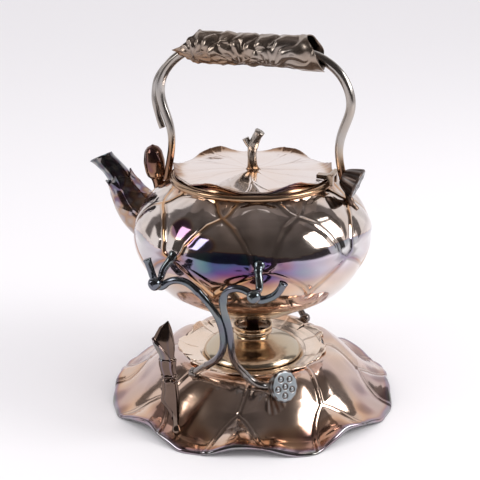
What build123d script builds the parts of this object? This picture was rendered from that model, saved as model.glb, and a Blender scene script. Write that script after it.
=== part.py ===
from build123d import *
from math import atan2, cos, hypot, pi, radians, sin
import os

# Spirit kettle on a stand, in the lotus taste. Millimetres, +Z up.
# While it is built the kettle's own axis is the Z axis, with the spout at -X and the lid hinge at
# +X, and Z = 0 is the table. The last step moves everything along X and Y so that the whole
# object is centred over the origin.

# ---- kettle body: radius and height of each point of its outline ----
FLOOR_R, FLOOR_Z = 42.0, 79.0
FOOT_R, FOOT_Z = 63.0, 91.5
HIP_R, HIP_Z = 85.8, 114.0
BELLY_R, BELLY_Z = 95.5, 140.0
SHOULDER_R, SHOULDER_Z = 83.0, 169.5
NECK_R, NECK_Z = 64.0, 185.0
BODY_WALL = 1.6
BODY_CORE_R, BODY_CORE_Z = 40.0, 134.0

# ---- gilt ring at the mouth ----
RIM_R = 63.0
RIM_THICK = 5.2
RIM_Z = 186.0

# ---- lid ----
LID_R = 62.4
LID_SEAT_GAP = 0.3
LID_SHEET = 1.3
LID_CROWN = 1.4
LID_WAVES = 7
LID_WAVE_RISE = 4.2
BEZEL_R = 58.0
BEZEL_WALL = 1.3
BEZEL_DROP = 8.0
KNOB_FOOT_R = 6.5
KNOB_R = 3.8
KNOB_RISE = 32.0
KNOB_LEAN = 6.0
KNOB_BEND = 20.0
KNOB_STUB_R = 2.9
KNOB_STUB_REACH = 7.5

# ---- lid hinge ----
HINGE_X, HINGE_Z = 64.9, 193.2
KNUCKLE_R = 2.3
PIN_R = 1.0
PIN_PLAY = 0.05
LID_KNUCKLE = 7.0
BODY_KNUCKLE = 4.6
KNUCKLE_GAP = 0.3
STRAP_REACH = 12.0
STRAP_THICK = 1.6
PIN_HEAD_R = 1.6
PIN_HEAD = 0.7

# ---- spout: centre line (X, Z) and outside radius from tip to root ----
SPOUT_TIP = (-139.0, 198.0, 10.2)
SPOUT_LIP = (-127.5, 186.5, 10.6)
SPOUT_NECK = (-117.0, 174.0, 11.6)
SPOUT_THROAT = (-109.5, 161.5, 14.2)
SPOUT_ROOT = (-99.0, 149.0, 17.6)
SPOUT_HEART = (-84.0, 139.0, 20.0)
SPOUT_WALL = 1.3
MOUTH_X, MOUTH_Z, MOUTH_SLOPE = -132.5, 190.0, 25.0
COLLAR_SHEET = 1.4
COLLAR_TOP = 14.0

# ---- handle ----
ROD_R = 3.8
ROD_FOOT_SINK = 1.0
ROD_PATH = [(-69.2, 209.0), (-79.4, 243.0), (-78.4, 260.0), (-62.0, 276.5), (-44.0, 285.6)]
ROD_RADII = [45.0, 24.0, 20.0, 36.0, 36.0]
ROD_FOOT_X = -74.0
ROD_HEEL = (73.6, 191.0)
GRIP_Z = 286.2
TWIG_R = 2.4
TWIG_PATH = [(-79.8, 262.0), (-83.2, 243.5), (-73.8, 216.0)]
TWIG_BEND = 30.0
GRIP_OUTLINE = [(-63.0, 4.6), (-54.0, 9.6), (-44.0, 12.6), (-15.0, 12.6), (15.0, 12.2), (44.0, 12.8), (60.0, 13.6)]
GRIP_SHEET = 1.5

# ---- bud at the spout end of the handle, seed pod at the hinge end ----
BUD_X, BUD_Z = -84.0, 181.0
BUD_R, BUD_TALL = 8.0, 24.0
STALK_R = 2.8
HEEL_POD = (72.5, 192.2)
HEEL_POD_TILT = 112.0
HEEL_STALK_X = 77.6
HEEL_STALK_SINK = 9.0
POD_R, POD_NECK_R, POD_DEEP = 12.2, 5.0, 14.0
SEED_R, SEED_RISE, SEED_RING = 1.7, 0.8, 7.2
SEEDS_ROUND = 5

# ---- four stems of the stand and the kettle's four journals that rest in their crooks ----
STEM_R = 3.0
CROOK_X = 38.0
CROOK_Y = 99.0
CROOK_Z = 124.6
CROOK_HALF = 5.4
JOURNAL_R = 2.4
JOURNAL_GAP = 0.3
BALL_R = 5.2
BALL_Y = 108.2
LUG_R = 2.9
LUG_X, LUG_Y, LUG_Z = 34.5, 85.5, 143.0
LUG_BEND_Y = 92.4
CUT_END_TALL = 20.0

# ---- stand ----
BASE_R = 117.5
BASE_LOBE = 2.6
BASE_SHEET = 2.4
BASE_TOP_Z = 38.4
BASE_TOP_R = 60.0
BASE_RIM_Z = 7.0
BASE_WAVES = 8
BASE_WAVE_RISE = 8.6
BASE_WAVE_START = 72.0
BASE_PHASE = -73.0
FOOT_TRIM = 0.6
SEAT_GAP = 0.1
SEAT_CUT = 20.0
WELL_R = 39.6
WELL_WALL = 1.2
WELL_FLOOR_Z = 24.0
DISH_R = 61.0
DISH_LOBE = 1.6
DISH_WAVES = 9
DISH_SEAT_GAP = 0.1
DISH_SHEET = 1.3
DISH_RISE = 2.6
NOTCH_W = 2.2
NOTCH_DEEP = 15.0
NOTCH_AZ = [-141.0, -128.0, -42.0]
BASE_BORE_GAP = 0.6

# ---- lamp ----
LAMP_GAP = 0.3
LAMP_BOTTOM_R = 33.0
LAMP_R, LAMP_EDGE_Z = 38.4, 37.0
LAMP_CROWN_R, LAMP_CROWN_Z = 27.0, 46.5
LAMP_NECK_R, LAMP_NECK_Z = 13.4, 52.0
LAMP_NECK_TOP = 56.0
LAMP_BORE_R = 11.6
LAMP_WALL = 1.4
BURNER_PLAY = 0.08
BURNER_R, BURNER_TOP = 15.8, 63.0
BURNER_SHEET = 1.4
PLUG_DEEP = 8.0
WICK_TUBE_R, WICK_TUBE_TOP = 4.9, 65.6
WICK_R, WICK_TOP = 3.9, 67.4
WICK_LOW = 30.0

# ---- furled leaf ----
FURL_FOOT = (-26.0, -103.5, 11.0)
FURL_TIP = (-33.0, -96.5, 97.0)
FURL_R = 8.6
FURL_SHEET = 1.3
FURL_STALK = 12.0


def rod(points, radii, radius):
    """A round bar along straight runs joined by tangent arcs."""
    path = FilletPolyline(*points, radius=radii) if radii else Line(*points)
    section = Plane(origin=path @ 0, z_dir=path % 0) * Circle(radius)
    return sweep(section, path=path)


def leaf_sheet(height, reach, count, thick):
    """A sheet of constant upright thickness whose underside lies at height(x, y)."""
    step = 2 * reach / (count - 1)
    places = [-reach + step * i for i in range(count)]
    grid = [[Vector(x, y, height(x, y)) for y in places] for x in places]
    face = Face.make_surface_from_array_of_points(grid, tol=0.05, min_deg=3, max_deg=3)
    return extrude(face, amount=thick, dir=(0, 0, 1))


def lobed_outline(radius, lobe, waves, phase, count=64):
    """A closed curve whose radius swells by lobe at each of the waves."""
    points = []
    for i in range(count):
        angle = 2 * pi * i / count
        r = radius + lobe * cos(waves * (angle - radians(phase)))
        points.append((r * cos(angle), r * sin(angle)))
    return make_face(Spline(*points, periodic=True))


def body_outline(inset):
    """The kettle's half outline, moved inwards by inset."""
    points = [(FLOOR_R, FLOOR_Z), (FOOT_R, FOOT_Z), (HIP_R, HIP_Z), (BELLY_R, BELLY_Z),
              (SHOULDER_R, SHOULDER_Z), (NECK_R, NECK_Z)]
    moved = []
    for r, z in points:
        dr = r - BODY_CORE_R
        dz = z - BODY_CORE_Z
        away = hypot(dr, dz)
        moved.append((r - inset * dr / away, z - inset * dz / away))
    return moved


def body_solid(inset):
    side = Spline(*[(r, 0, z) for r, z in body_outline(inset)])
    rest = Polyline(side @ 1, (0, 0, (side @ 1).Z), (0, 0, (side @ 0).Z), side @ 0)
    return revolve(make_face(side + rest), axis=Axis.Z)


def body_height(radius):
    """Height of the kettle's outer shoulder at a radius, on the straight line between its points."""
    if radius > SHOULDER_R:
        share = (radius - SHOULDER_R) / (BELLY_R - SHOULDER_R)
        return SHOULDER_Z + share * (BELLY_Z - SHOULDER_Z) * 0.55
    share = (radius - NECK_R) / (SHOULDER_R - NECK_R)
    return NECK_Z + share * (SHOULDER_Z - NECK_Z)


def kettle_solid():
    return body_solid(0)


def spout_solid(inset):
    sections = []
    knots = [SPOUT_TIP, SPOUT_LIP, SPOUT_NECK, SPOUT_THROAT, SPOUT_ROOT, SPOUT_HEART]
    for i, (x, z, r) in enumerate(knots):
        before = knots[max(i - 1, 0)]
        after = knots[min(i + 1, len(knots) - 1)]
        along = Vector(after[0] - before[0], 0, after[1] - before[1])
        sections.append(Plane(origin=(x, 0, z), x_dir=(0, 1, 0), z_dir=along) * Circle(r - inset))
    return loft(sections)


def mouth_cut():
    block = Box(80, 80, 60, align=(Align.CENTER, Align.CENTER, Align.MIN))
    return Pos(MOUTH_X, 0, MOUTH_Z) * Rot(0, -MOUTH_SLOPE, 0) * block


def kettle_body():
    mouth = Pos(0, 0, NECK_Z) * Cylinder(NECK_R - BODY_WALL, 6 * BODY_WALL)
    return kettle_solid() - body_solid(BODY_WALL) - mouth - spout_solid(SPOUT_WALL)


def spout():
    tube = spout_solid(0) - spout_solid(SPOUT_WALL) - kettle_solid() - mouth_cut()
    return tube


def spout_collar():
    """The sheath of leaves that wraps the root of the spout."""
    sleeve = spout_solid(-COLLAR_SHEET) - spout_solid(0) - kettle_solid()
    x, z, r = SPOUT_THROAT
    along = Vector(SPOUT_NECK[0] - x, 0, SPOUT_NECK[1] - z)
    above = Plane(origin=(x, 0, z), x_dir=(0, 1, 0), z_dir=along)
    top = above * Box(90, 90, 60, align=(Align.CENTER, Align.CENTER, Align.MIN))
    return sleeve - top


def rim_ring():
    ring = Pos(0, 0, RIM_Z) * Torus(RIM_R, RIM_THICK / 2)
    return ring - kettle_solid()


def lid_underside(x, y):
    r = hypot(x, y)
    share = r / LID_R
    swell = 0.5 - 0.5 * cos(LID_WAVES * atan2(y, x))
    seat = RIM_Z + RIM_THICK / 2 + LID_SEAT_GAP
    return seat + LID_CROWN * max(0.0, 1 - share ** 2) + LID_WAVE_RISE * swell * min(share, 1.1) ** 6


def lid_leaf():
    sheet = leaf_sheet(lid_underside, LID_R + 4, 33, LID_SHEET)
    outline = Pos(0, 0, RIM_Z) * extrude(Circle(LID_R), amount=20)
    return sheet & outline


def lid_bezel():
    seat = RIM_Z + RIM_THICK / 2 + LID_SEAT_GAP
    ring = Circle(BEZEL_R) - Circle(BEZEL_R - BEZEL_WALL)
    tall = Pos(0, 0, seat - BEZEL_DROP) * extrude(ring, amount=BEZEL_DROP + LID_WAVE_RISE + 2)
    return tall - leaf_sheet(lid_underside, LID_R + 4, 33, 30)


def lid_knob():
    """A cut twig that bends over and carries the stub of a side shoot."""
    low = lid_underside(0, 0) + LID_SHEET
    foot = Pos(0, 0, low) * Cone(KNOB_FOOT_R, KNOB_R, 4, align=(Align.CENTER, Align.CENTER, Align.MIN))
    top = low + KNOB_RISE
    stem = rod([(0, 0, low), (0, 0, low + KNOB_BEND), (KNOB_LEAN, 0, top)], [14], KNOB_R)
    stub_z = low + KNOB_BEND
    stub = rod([(0, 0, stub_z), (-2, 0, stub_z + 3), (-KNOB_STUB_REACH, 0, stub_z + 6)], [4], KNOB_STUB_R)
    return foot + stem + stub


def hinge_barrel(radius, low_y, high_y):
    turned = Rot(90, 0, 0) * Cylinder(radius, high_y - low_y)
    return Pos(HINGE_X, (low_y + high_y) / 2, HINGE_Z) * turned


def lid_hinge_strap():
    half = LID_KNUCKLE / 2
    barrel = hinge_barrel(KNUCKLE_R, -half, half)
    low = lid_underside(LID_R, 0)
    block = Box(STRAP_REACH, LID_KNUCKLE, STRAP_THICK + LID_SHEET + 1, align=(Align.MAX, Align.CENTER, Align.MIN))
    strap = Pos(HINGE_X, 0, low) * block
    strap = strap - leaf_sheet(lambda x, y: lid_underside(x, y) - 12, LID_R + 4, 33, 12 + LID_SHEET)
    return barrel + strap - hinge_barrel(PIN_R + PIN_PLAY, -LID_KNUCKLE, LID_KNUCKLE)


def body_hinge_lugs():
    inner = LID_KNUCKLE / 2 + KNUCKLE_GAP
    lugs = []
    for side in (-1, 1):
        low_y, high_y = sorted((side * inner, side * (inner + BODY_KNUCKLE)))
        leg_x = HINGE_X - KNUCKLE_R + 0.5
        leg = Box(2 * KNUCKLE_R - 0.5, BODY_KNUCKLE, HINGE_Z - RIM_Z, align=(Align.MIN, Align.CENTER, Align.MAX))
        lug = hinge_barrel(KNUCKLE_R, low_y, high_y) + Pos(leg_x, (low_y + high_y) / 2, HINGE_Z) * leg
        lug = lug - hinge_barrel(PIN_R, low_y - 1, high_y + 1)
        lugs.append(lug - Pos(0, 0, RIM_Z) * Torus(RIM_R, RIM_THICK / 2) - kettle_solid())
    return lugs


def hinge_pin():
    reach = LID_KNUCKLE / 2 + KNUCKLE_GAP + BODY_KNUCKLE
    pin = hinge_barrel(PIN_R, -reach - 0.1, reach + 0.1)
    for side in (-1, 1):
        low_y, high_y = sorted((side * reach, side * (reach + PIN_HEAD)))
        pin += hinge_barrel(PIN_HEAD_R, low_y, high_y)
    return pin


def handle_rod():
    left = [(ROD_FOOT_X, 0, body_height(-ROD_FOOT_X) - ROD_FOOT_SINK)] + [(x, 0, z) for x, z in ROD_PATH]
    right = [(-x, 0, z) for x, z in reversed(ROD_PATH)] + [(ROD_HEEL[0], 0, ROD_HEEL[1])]
    radii = ROD_RADII + ROD_RADII[::-1]
    return rod(left + right, radii, ROD_R) - kettle_solid()


def handle_twig():
    points = [(x, 0, z) for x, z in TWIG_PATH]
    return rod(points, [TWIG_BEND], TWIG_R) - handle_rod()


def grip_leaf():
    """A lotus leaf rolled round the top of the handle, open at its hinge end."""
    outer = [(x, 0, GRIP_Z + r) for x, r in GRIP_OUTLINE]
    inner = [(x, 0, GRIP_Z + max(r - GRIP_SHEET, 1.5)) for x, r in GRIP_OUTLINE]
    top = Spline(*outer)
    bottom = Spline(*inner)
    ends = Line(top @ 0, bottom @ 0) + Line(top @ 1, bottom @ 1)
    roll = revolve(make_face(top + bottom + ends), axis=Axis((0, 0, GRIP_Z), (1, 0, 0)))
    return roll - handle_rod()


def bud():
    half = [(0, 0, 0), (0.55 * BUD_R, 0, 0.06 * BUD_TALL), (BUD_R, 0, 0.36 * BUD_TALL),
            (0.66 * BUD_R, 0, 0.74 * BUD_TALL), (0, 0, BUD_TALL)]
    side = Spline(*half)
    shape = revolve(make_face(side + Line(side @ 1, side @ 0)), axis=Axis.Z)
    place = Pos(BUD_X, 0, BUD_Z) * Rot(0, -6, 0)
    low = body_height(-BUD_X) - 4
    stalk = Pos(BUD_X, 0, low) * Cylinder(STALK_R, BUD_Z + 2 - low, align=(Align.CENTER, Align.CENTER, Align.MIN))
    return place * shape + stalk - kettle_solid()


def pod_cup():
    """A lotus seed pod: a cup that widens from its stalk to a flat face with a rolled edge."""
    edge = 1.4
    side = Spline((POD_NECK_R, 0, 0), (0.78 * POD_R, 0, 0.45 * POD_DEEP), (POD_R, 0, POD_DEEP - edge))
    lip = Spline((POD_R, 0, POD_DEEP - edge), (POD_R - 0.3, 0, POD_DEEP - 0.3), (POD_R - edge, 0, POD_DEEP))
    rest = Polyline((POD_R - edge, 0, POD_DEEP), (0, 0, POD_DEEP), (0, 0, 0), (POD_NECK_R, 0, 0))
    return revolve(make_face(side + lip + rest), axis=Axis.Z)


def pod_seeds():
    """One seed in the middle of the face and a ring round it."""
    seed = Cylinder(SEED_R, SEED_RISE, align=(Align.CENTER, Align.CENTER, Align.MIN))
    seeds = [Pos(0, 0, POD_DEEP) * seed]
    for i in range(SEEDS_ROUND):
        angle = 2 * pi * i / SEEDS_ROUND
        seeds.append(Pos(SEED_RING * cos(angle), SEED_RING * sin(angle), POD_DEEP) * seed)
    return seeds


def heel_pod_place():
    return Pos(HEEL_POD[0], 0, HEEL_POD[1]) * Rot(0, HEEL_POD_TILT, 0)


def heel_pod():
    low = body_height(HEEL_STALK_X) - 4
    stalk = Pos(HEEL_STALK_X, 0, low) * Cylinder(STALK_R, HEEL_POD[1] - HEEL_STALK_SINK - low,
                                                  align=(Align.CENTER, Align.CENTER, Align.MIN))
    return heel_pod_place() * pod_cup() + stalk - kettle_solid() - handle_rod()


def journal_bracket(side_x, side_y):
    """A stalk from the belly, a level journal that rests in a crook, and its ball."""
    z = journal_z()
    x = side_x * CROOK_X
    start_y = side_y * (BELLY_R - 14)
    journal = rod([(x, start_y, z), (x, side_y * BALL_Y, z)], [], JOURNAL_R)
    ball = Pos(x, side_y * BALL_Y, z) * Sphere(BALL_R)
    stalk = rod([(side_x * LUG_X, side_y * LUG_Y, LUG_Z), (x, side_y * LUG_BEND_Y, z + 4),
                 (x, side_y * LUG_BEND_Y, z)], [3], LUG_R)
    return journal + ball + stalk - kettle_solid()


def journal_z():
    return CROOK_Z + STEM_R + JOURNAL_GAP + JOURNAL_R


def half_turn(shape, turned):
    return Rot(0, 0, 180) * shape if turned else shape


def foot_stem_points():
    y = -CROOK_Y
    z = CROOK_Z
    left = -CROOK_X - CROOK_HALF
    right = -CROOK_X + CROOK_HALF
    return [(left - 4.4, y, z + CUT_END_TALL), (left, y, z), (right, y, z), (right + 8, y, z + 6.4),
            (right + 20, y, z + 6.4), (-0.5, y + 1, 117), (7.0, y + 8, 97), (6.0, y + 13, 78),
            (-4.0, y + 19, 60), (-18.0, y + 29, 48.0), (-26.0, y + 33, 40.0)]


def foot_stem():
    radii = [4.5, 4.5, 7, 9, 20, 20, 16, 16, 10]
    stem = rod(foot_stem_points(), radii, STEM_R)
    knuckle = Pos(*foot_stem_points()[-1]) * Sphere(STEM_R + 1.4)
    return stem + knuckle


def pod_stem_points():
    y = -CROOK_Y
    z = CROOK_Z
    left = CROOK_X - CROOK_HALF
    right = CROOK_X + CROOK_HALF
    return [(right + 13, y, z + 15), (right + 1.5, y, z), (left, y, z), (left - 7, y, z + 7.0),
            (left - 19.5, y, z + 7.0), (left - 21.0, y + 3, 108), (14.2, y + 11, 85), (17.0, y + 20, 60),
            (21.0, y + 29.5, 43.0), (28.5, y + 33.2, 36.2), (41.5, y + 28.8, 42.6)]


def pod_stem():
    radii = [4.5, 4.5, 7, 7.5, 20, 20, 30, 10, 9]
    return rod(pod_stem_points(), radii, STEM_R)


def stand_pod_place():
    x, y, z = pod_stem_points()[-1]
    plane = Plane(origin=(x, y, z), z_dir=(0.70, -0.62, 0.34))
    return plane.location


def base_underside(x, y):
    """A dome that falls to a flange, whose rim rises and falls in waves."""
    r = hypot(x, y)
    share = min(max((r - BASE_TOP_R) / (BASE_R - 6 - BASE_TOP_R), 0.0), 1.0)
    ease = share * share * (3 - 2 * share)
    dome = BASE_TOP_Z + (BASE_RIM_Z - BASE_SHEET - BASE_TOP_Z) * ease
    swell = 0.5 + 0.5 * cos(BASE_WAVES * (atan2(y, x) - radians(BASE_PHASE)))
    reach = max(0.0, (r - BASE_WAVE_START) / (BASE_R - BASE_WAVE_START)) ** 2
    low = BASE_RIM_Z - BASE_SHEET + FOOT_TRIM
    return dome - low * reach + BASE_WAVE_RISE * swell * reach


def base_sheet(depth, thick):
    """A sheet with the waves of the base, whose underside lies a depth below the base's own."""
    return leaf_sheet(lambda x, y: base_underside(x, y) - depth, BASE_R + BASE_LOBE + 3, 41, thick)


def seated_on_base(shape):
    """What stands above the top face of the base, a seat gap clear of it."""
    return shape - base_sheet(SEAT_CUT, SEAT_CUT + BASE_SHEET + SEAT_GAP)


def stand_base():
    sheet = base_sheet(0, BASE_SHEET)
    outline = lobed_outline(BASE_R, -BASE_LOBE, BASE_WAVES, BASE_PHASE)
    bore = Circle(WELL_R + WELL_WALL + BASE_BORE_GAP)
    return sheet & extrude(outline - bore, amount=80)


def dish_underside(x, y):
    r = hypot(x, y)
    share = max(0.0, (r - WELL_R) / (DISH_R - WELL_R))
    swell = 0.5 + 0.5 * cos(DISH_WAVES * atan2(y, x))
    return BASE_TOP_Z + BASE_SHEET + DISH_SEAT_GAP + DISH_RISE * share ** 2 * (0.4 + 0.6 * swell)


def lamp_dish():
    """A lily pad with slits in its edge and a well in the middle that holds the lamp."""
    sheet = leaf_sheet(dish_underside, DISH_R + DISH_LOBE + 3, 33, DISH_SHEET)
    outline = lobed_outline(DISH_R, DISH_LOBE, DISH_WAVES, 0)
    pad = sheet & extrude(outline - Circle(WELL_R), amount=80)
    for azimuth in NOTCH_AZ:
        slit = Box(2 * NOTCH_DEEP, NOTCH_W, 80)
        pad -= Rot(0, 0, azimuth) * Pos(DISH_R + 2, 0, 0) * slit
    top = BASE_TOP_Z + BASE_SHEET + DISH_SHEET
    well = Pos(0, 0, WELL_FLOOR_Z) * Cylinder(WELL_R + WELL_WALL, top - WELL_FLOOR_Z,
                                              align=(Align.CENTER, Align.CENTER, Align.MIN))
    hollow = Pos(0, 0, WELL_FLOOR_Z + WELL_WALL) * Cylinder(WELL_R, top, align=(Align.CENTER, Align.CENTER, Align.MIN))
    return pad + (well - hollow)


def lamp_floor_z():
    return WELL_FLOOR_Z + WELL_WALL + LAMP_GAP


def lamp_half(inset):
    low = lamp_floor_z() + inset
    side = Spline((LAMP_BOTTOM_R - inset, 0, low), (LAMP_R - inset, 0, LAMP_EDGE_Z),
                  (LAMP_CROWN_R, 0, LAMP_CROWN_Z - inset), (LAMP_NECK_R, 0, LAMP_NECK_Z - inset))
    rest = Polyline(side @ 1, (0, 0, (side @ 1).Z), (0, 0, low), side @ 0)
    return revolve(make_face(side + rest), axis=Axis.Z)


def lamp_reservoir():
    neck_low = LAMP_NECK_Z - 4
    neck = Pos(0, 0, neck_low) * Cylinder(LAMP_NECK_R, LAMP_NECK_TOP - neck_low,
                                          align=(Align.CENTER, Align.CENTER, Align.MIN))
    bore = Pos(0, 0, neck_low - 4) * Cylinder(LAMP_BORE_R, 30, align=(Align.CENTER, Align.CENTER, Align.MIN))
    return lamp_half(0) + neck - lamp_half(LAMP_WALL) - bore


def burner_collar():
    """The wide ring of the burner, its web and the plug that fits the neck of the lamp."""
    web_z = LAMP_NECK_TOP + LAMP_GAP
    plug_r = LAMP_BORE_R - BURNER_PLAY
    web = Pos(0, 0, web_z) * extrude(Circle(BURNER_R) - Circle(WICK_TUBE_R), amount=BURNER_SHEET)
    wall = Pos(0, 0, web_z) * extrude(Circle(BURNER_R) - Circle(BURNER_R - BURNER_SHEET), amount=BURNER_TOP - web_z)
    plug = Pos(0, 0, web_z - PLUG_DEEP) * extrude(Circle(plug_r) - Circle(plug_r - BURNER_SHEET), amount=PLUG_DEEP)
    return web + wall + plug


def wick_tube():
    low = LAMP_NECK_TOP + LAMP_GAP - PLUG_DEEP
    ring = Circle(WICK_TUBE_R) - Circle(WICK_R)
    return Pos(0, 0, low) * extrude(ring, amount=WICK_TUBE_TOP - low)


def wick():
    return Pos(0, 0, WICK_LOW) * Cylinder(WICK_R, WICK_TOP - WICK_LOW, align=(Align.CENTER, Align.CENTER, Align.MIN))


def furled_leaf():
    """A young leaf rolled into an open scroll, standing on its stalk at the rim of the base."""
    foot = Vector(*FURL_FOOT)
    tip = Vector(*FURL_TIP)
    along = tip - foot
    tall = along.length
    low = FURL_STALK
    outer = Spline((0.30 * FURL_R, 0, low), (FURL_R, 0, low + 16), (0.86 * FURL_R, 0, 0.55 * tall),
                   (FURL_R, 0, 0.78 * tall), (0.55 * FURL_R, 0, tall))
    inner = Spline((0.30 * FURL_R - 1.2, 0, low), (FURL_R - FURL_SHEET, 0, low + 16),
                   (0.86 * FURL_R - FURL_SHEET, 0, 0.55 * tall), (FURL_R - FURL_SHEET, 0, 0.78 * tall),
                   (0.55 * FURL_R - FURL_SHEET, 0, tall))
    ends = Line(outer @ 0, inner @ 0) + Line(outer @ 1, inner @ 1)
    roll = revolve(make_face(outer + inner + ends), axis=Axis.Z)
    slot = Pos(0, -FURL_R, low + 20) * Box(6, 2 * FURL_R, 2 * tall, align=(Align.CENTER, Align.CENTER, Align.MIN))
    stalk = Pos(0, 0, -FURL_STALK) * Cylinder(STALK_R, low + FURL_STALK + 2,
                                              align=(Align.CENTER, Align.CENTER, Align.MIN))
    place = Plane(origin=foot, x_dir=(1, 0, 0), z_dir=along).location
    return place * (roll - slot + stalk)


def named_pieces():
    """Every piece of the kettle and its stand by name."""
    lugs = body_hinge_lugs()
    pieces = {
        "kettle_body": kettle_body(),
        "mouth_rim": rim_ring(),
        "spout": spout(),
        "spout_leaf_collar": spout_collar(),
        "handle_rod": handle_rod(),
        "handle_twig": handle_twig(),
        "grip_leaf": grip_leaf(),
        "bud": bud(),
        "heel_pod": heel_pod(),
        "heel_pod_seeds": Compound([heel_pod_place() * seed for seed in pod_seeds()]),
        "body_hinge_lugs": Compound(lugs),
        "hinge_pin": hinge_pin(),
        "lid_leaf": lid_leaf(),
        "lid_bezel": lid_bezel(),
        "lid_knob": lid_knob() - lid_leaf(),
        "lid_hinge_strap": lid_hinge_strap(),
        "stand_base": stand_base(),
        "lamp_dish": lamp_dish(),
        "furled_leaf": seated_on_base(furled_leaf()),
        "lamp_reservoir": lamp_reservoir(),
        "burner_collar": burner_collar(),
        "wick_tube": wick_tube(),
        "wick": wick(),
    }
    for end, side_x in (("spout", -1), ("heel", 1)):
        for face, side_y in (("front", -1), ("rear", 1)):
            pieces[f"journal_{end}_{face}"] = journal_bracket(side_x, side_y)
    for face, turned in (("front", False), ("rear", True)):
        pieces[f"foot_stem_{face}"] = half_turn(seated_on_base(foot_stem()), turned)
        pieces[f"pod_stem_{face}"] = half_turn(seated_on_base(pod_stem()), turned)
        pieces[f"stand_pod_{face}"] = half_turn(stand_pod_place() * pod_cup() - pod_stem(), turned)
        seeds = [half_turn(stand_pod_place() * seed, turned) for seed in pod_seeds()]
        pieces[f"stand_pod_{face}_seeds"] = Compound(seeds)
    return pieces


def main():
    os.makedirs("parts", exist_ok=True)
    pieces = named_pieces()
    boxes = [shape.bounding_box() for shape in pieces.values()]
    middle_x = (min(box.min.X for box in boxes) + max(box.max.X for box in boxes)) / 2
    middle_y = (min(box.min.Y for box in boxes) + max(box.max.Y for box in boxes)) / 2
    for name, shape in pieces.items():
        export_step(Pos(-middle_x, -middle_y, 0) * shape, f"parts/{name}.step")
    print(f"kettle axis stands at X {-middle_x:.3f} Y {-middle_y:.3f}")


main()
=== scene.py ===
"""A silver plated lotus-leaf kettle on its lamp stand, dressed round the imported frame.

Lengths are in millimetres from the kettle's own axis, and place() carries them into the frame.
"""
import bmesh
import bpy
import numpy as np
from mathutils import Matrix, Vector


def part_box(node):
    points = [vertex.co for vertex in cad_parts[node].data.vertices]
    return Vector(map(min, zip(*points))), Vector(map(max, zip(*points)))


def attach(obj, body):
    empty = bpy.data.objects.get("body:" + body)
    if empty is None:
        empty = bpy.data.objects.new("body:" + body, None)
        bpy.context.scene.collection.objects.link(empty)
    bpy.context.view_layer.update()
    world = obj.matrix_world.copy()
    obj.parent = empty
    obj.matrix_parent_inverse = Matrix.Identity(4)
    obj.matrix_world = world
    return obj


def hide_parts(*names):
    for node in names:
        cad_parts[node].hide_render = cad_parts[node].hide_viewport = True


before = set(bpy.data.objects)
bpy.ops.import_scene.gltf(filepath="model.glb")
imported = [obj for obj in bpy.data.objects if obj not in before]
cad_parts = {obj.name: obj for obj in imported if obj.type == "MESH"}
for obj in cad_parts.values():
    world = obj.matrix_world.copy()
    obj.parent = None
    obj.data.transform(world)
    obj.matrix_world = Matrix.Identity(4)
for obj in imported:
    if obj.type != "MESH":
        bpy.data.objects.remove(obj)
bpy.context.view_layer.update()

MM = 0.001
TAU = 2 * np.pi
rim_low, rim_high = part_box("mouth_rim")
AXIS_X = (rim_low.x + rim_high.x) / 2

# ---- kettle ----
BODY_POINTS = [(42.0, 79.0), (63.0, 91.5), (85.8, 114.0), (95.5, 140.0), (83.0, 169.5), (64.0, 185.0)]
BODY_WALL = 1.6
PETALS = 8
NODE_AZIMUTH = -66.5
RIM_R, RIM_HALF, RIM_Z = 63.0, 2.6, 186.0
FLOOR_BELOW, FLOOR_ABOVE, NECK_INSIDE = [(38, 78.6), (20, 79.3)], (20, 81.2), (RIM_R - 1.4, 185.2)
LID_R, LID_LOW, LID_SHEET = 62.4, 188.9, 1.3
ROD_R = 3.8
STEM_R = 3.0
CROOK_X = 38.0
JOURNAL_Z, BALL_Y = 130.3, 108.2

# ---- stand ----
BASE_R, BASE_LOBE, BASE_WAVES, BASE_PHASE = 117.5, 2.6, 8, -73.0
BASE_TOP_Z, BASE_TOP_R, BASE_RIM_Z, BASE_SHEET = 38.4, 60.0, 7.0, 2.4
WELL_R, WELL_WALL, WELL_FLOOR_Z = 39.6, 1.2, 24.0
DISH_R, DISH_SHEET = 61.0, 1.3
BASE_HOLE_R = 59.3


# =================================================================== mesh helpers

def place(points):
    """Millimetres from the kettle's axis to metres in the frame: scaled and moved along X."""
    moved = np.asarray(points, float) * MM
    moved[..., 0] += AXIS_X
    return moved


def quads(rows, cols, wrap_rows, wrap_cols):
    """Corner numbers of every quad of a grid of rows by cols, joined end to start where asked."""
    i, j = np.meshgrid(np.arange(rows if wrap_rows else rows - 1),
                       np.arange(cols if wrap_cols else cols - 1), indexing="ij")
    below, beside = (i + 1) % rows, (j + 1) % cols
    corners = [i * cols + j, i * cols + beside, below * cols + beside, below * cols + j]
    return np.stack(corners, -1).reshape(-1, 4)


def linked(name, data):
    """A new object of the scene that shows the data."""
    thing = bpy.data.objects.new(name, data)
    bpy.context.scene.collection.objects.link(thing)
    return thing


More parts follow.
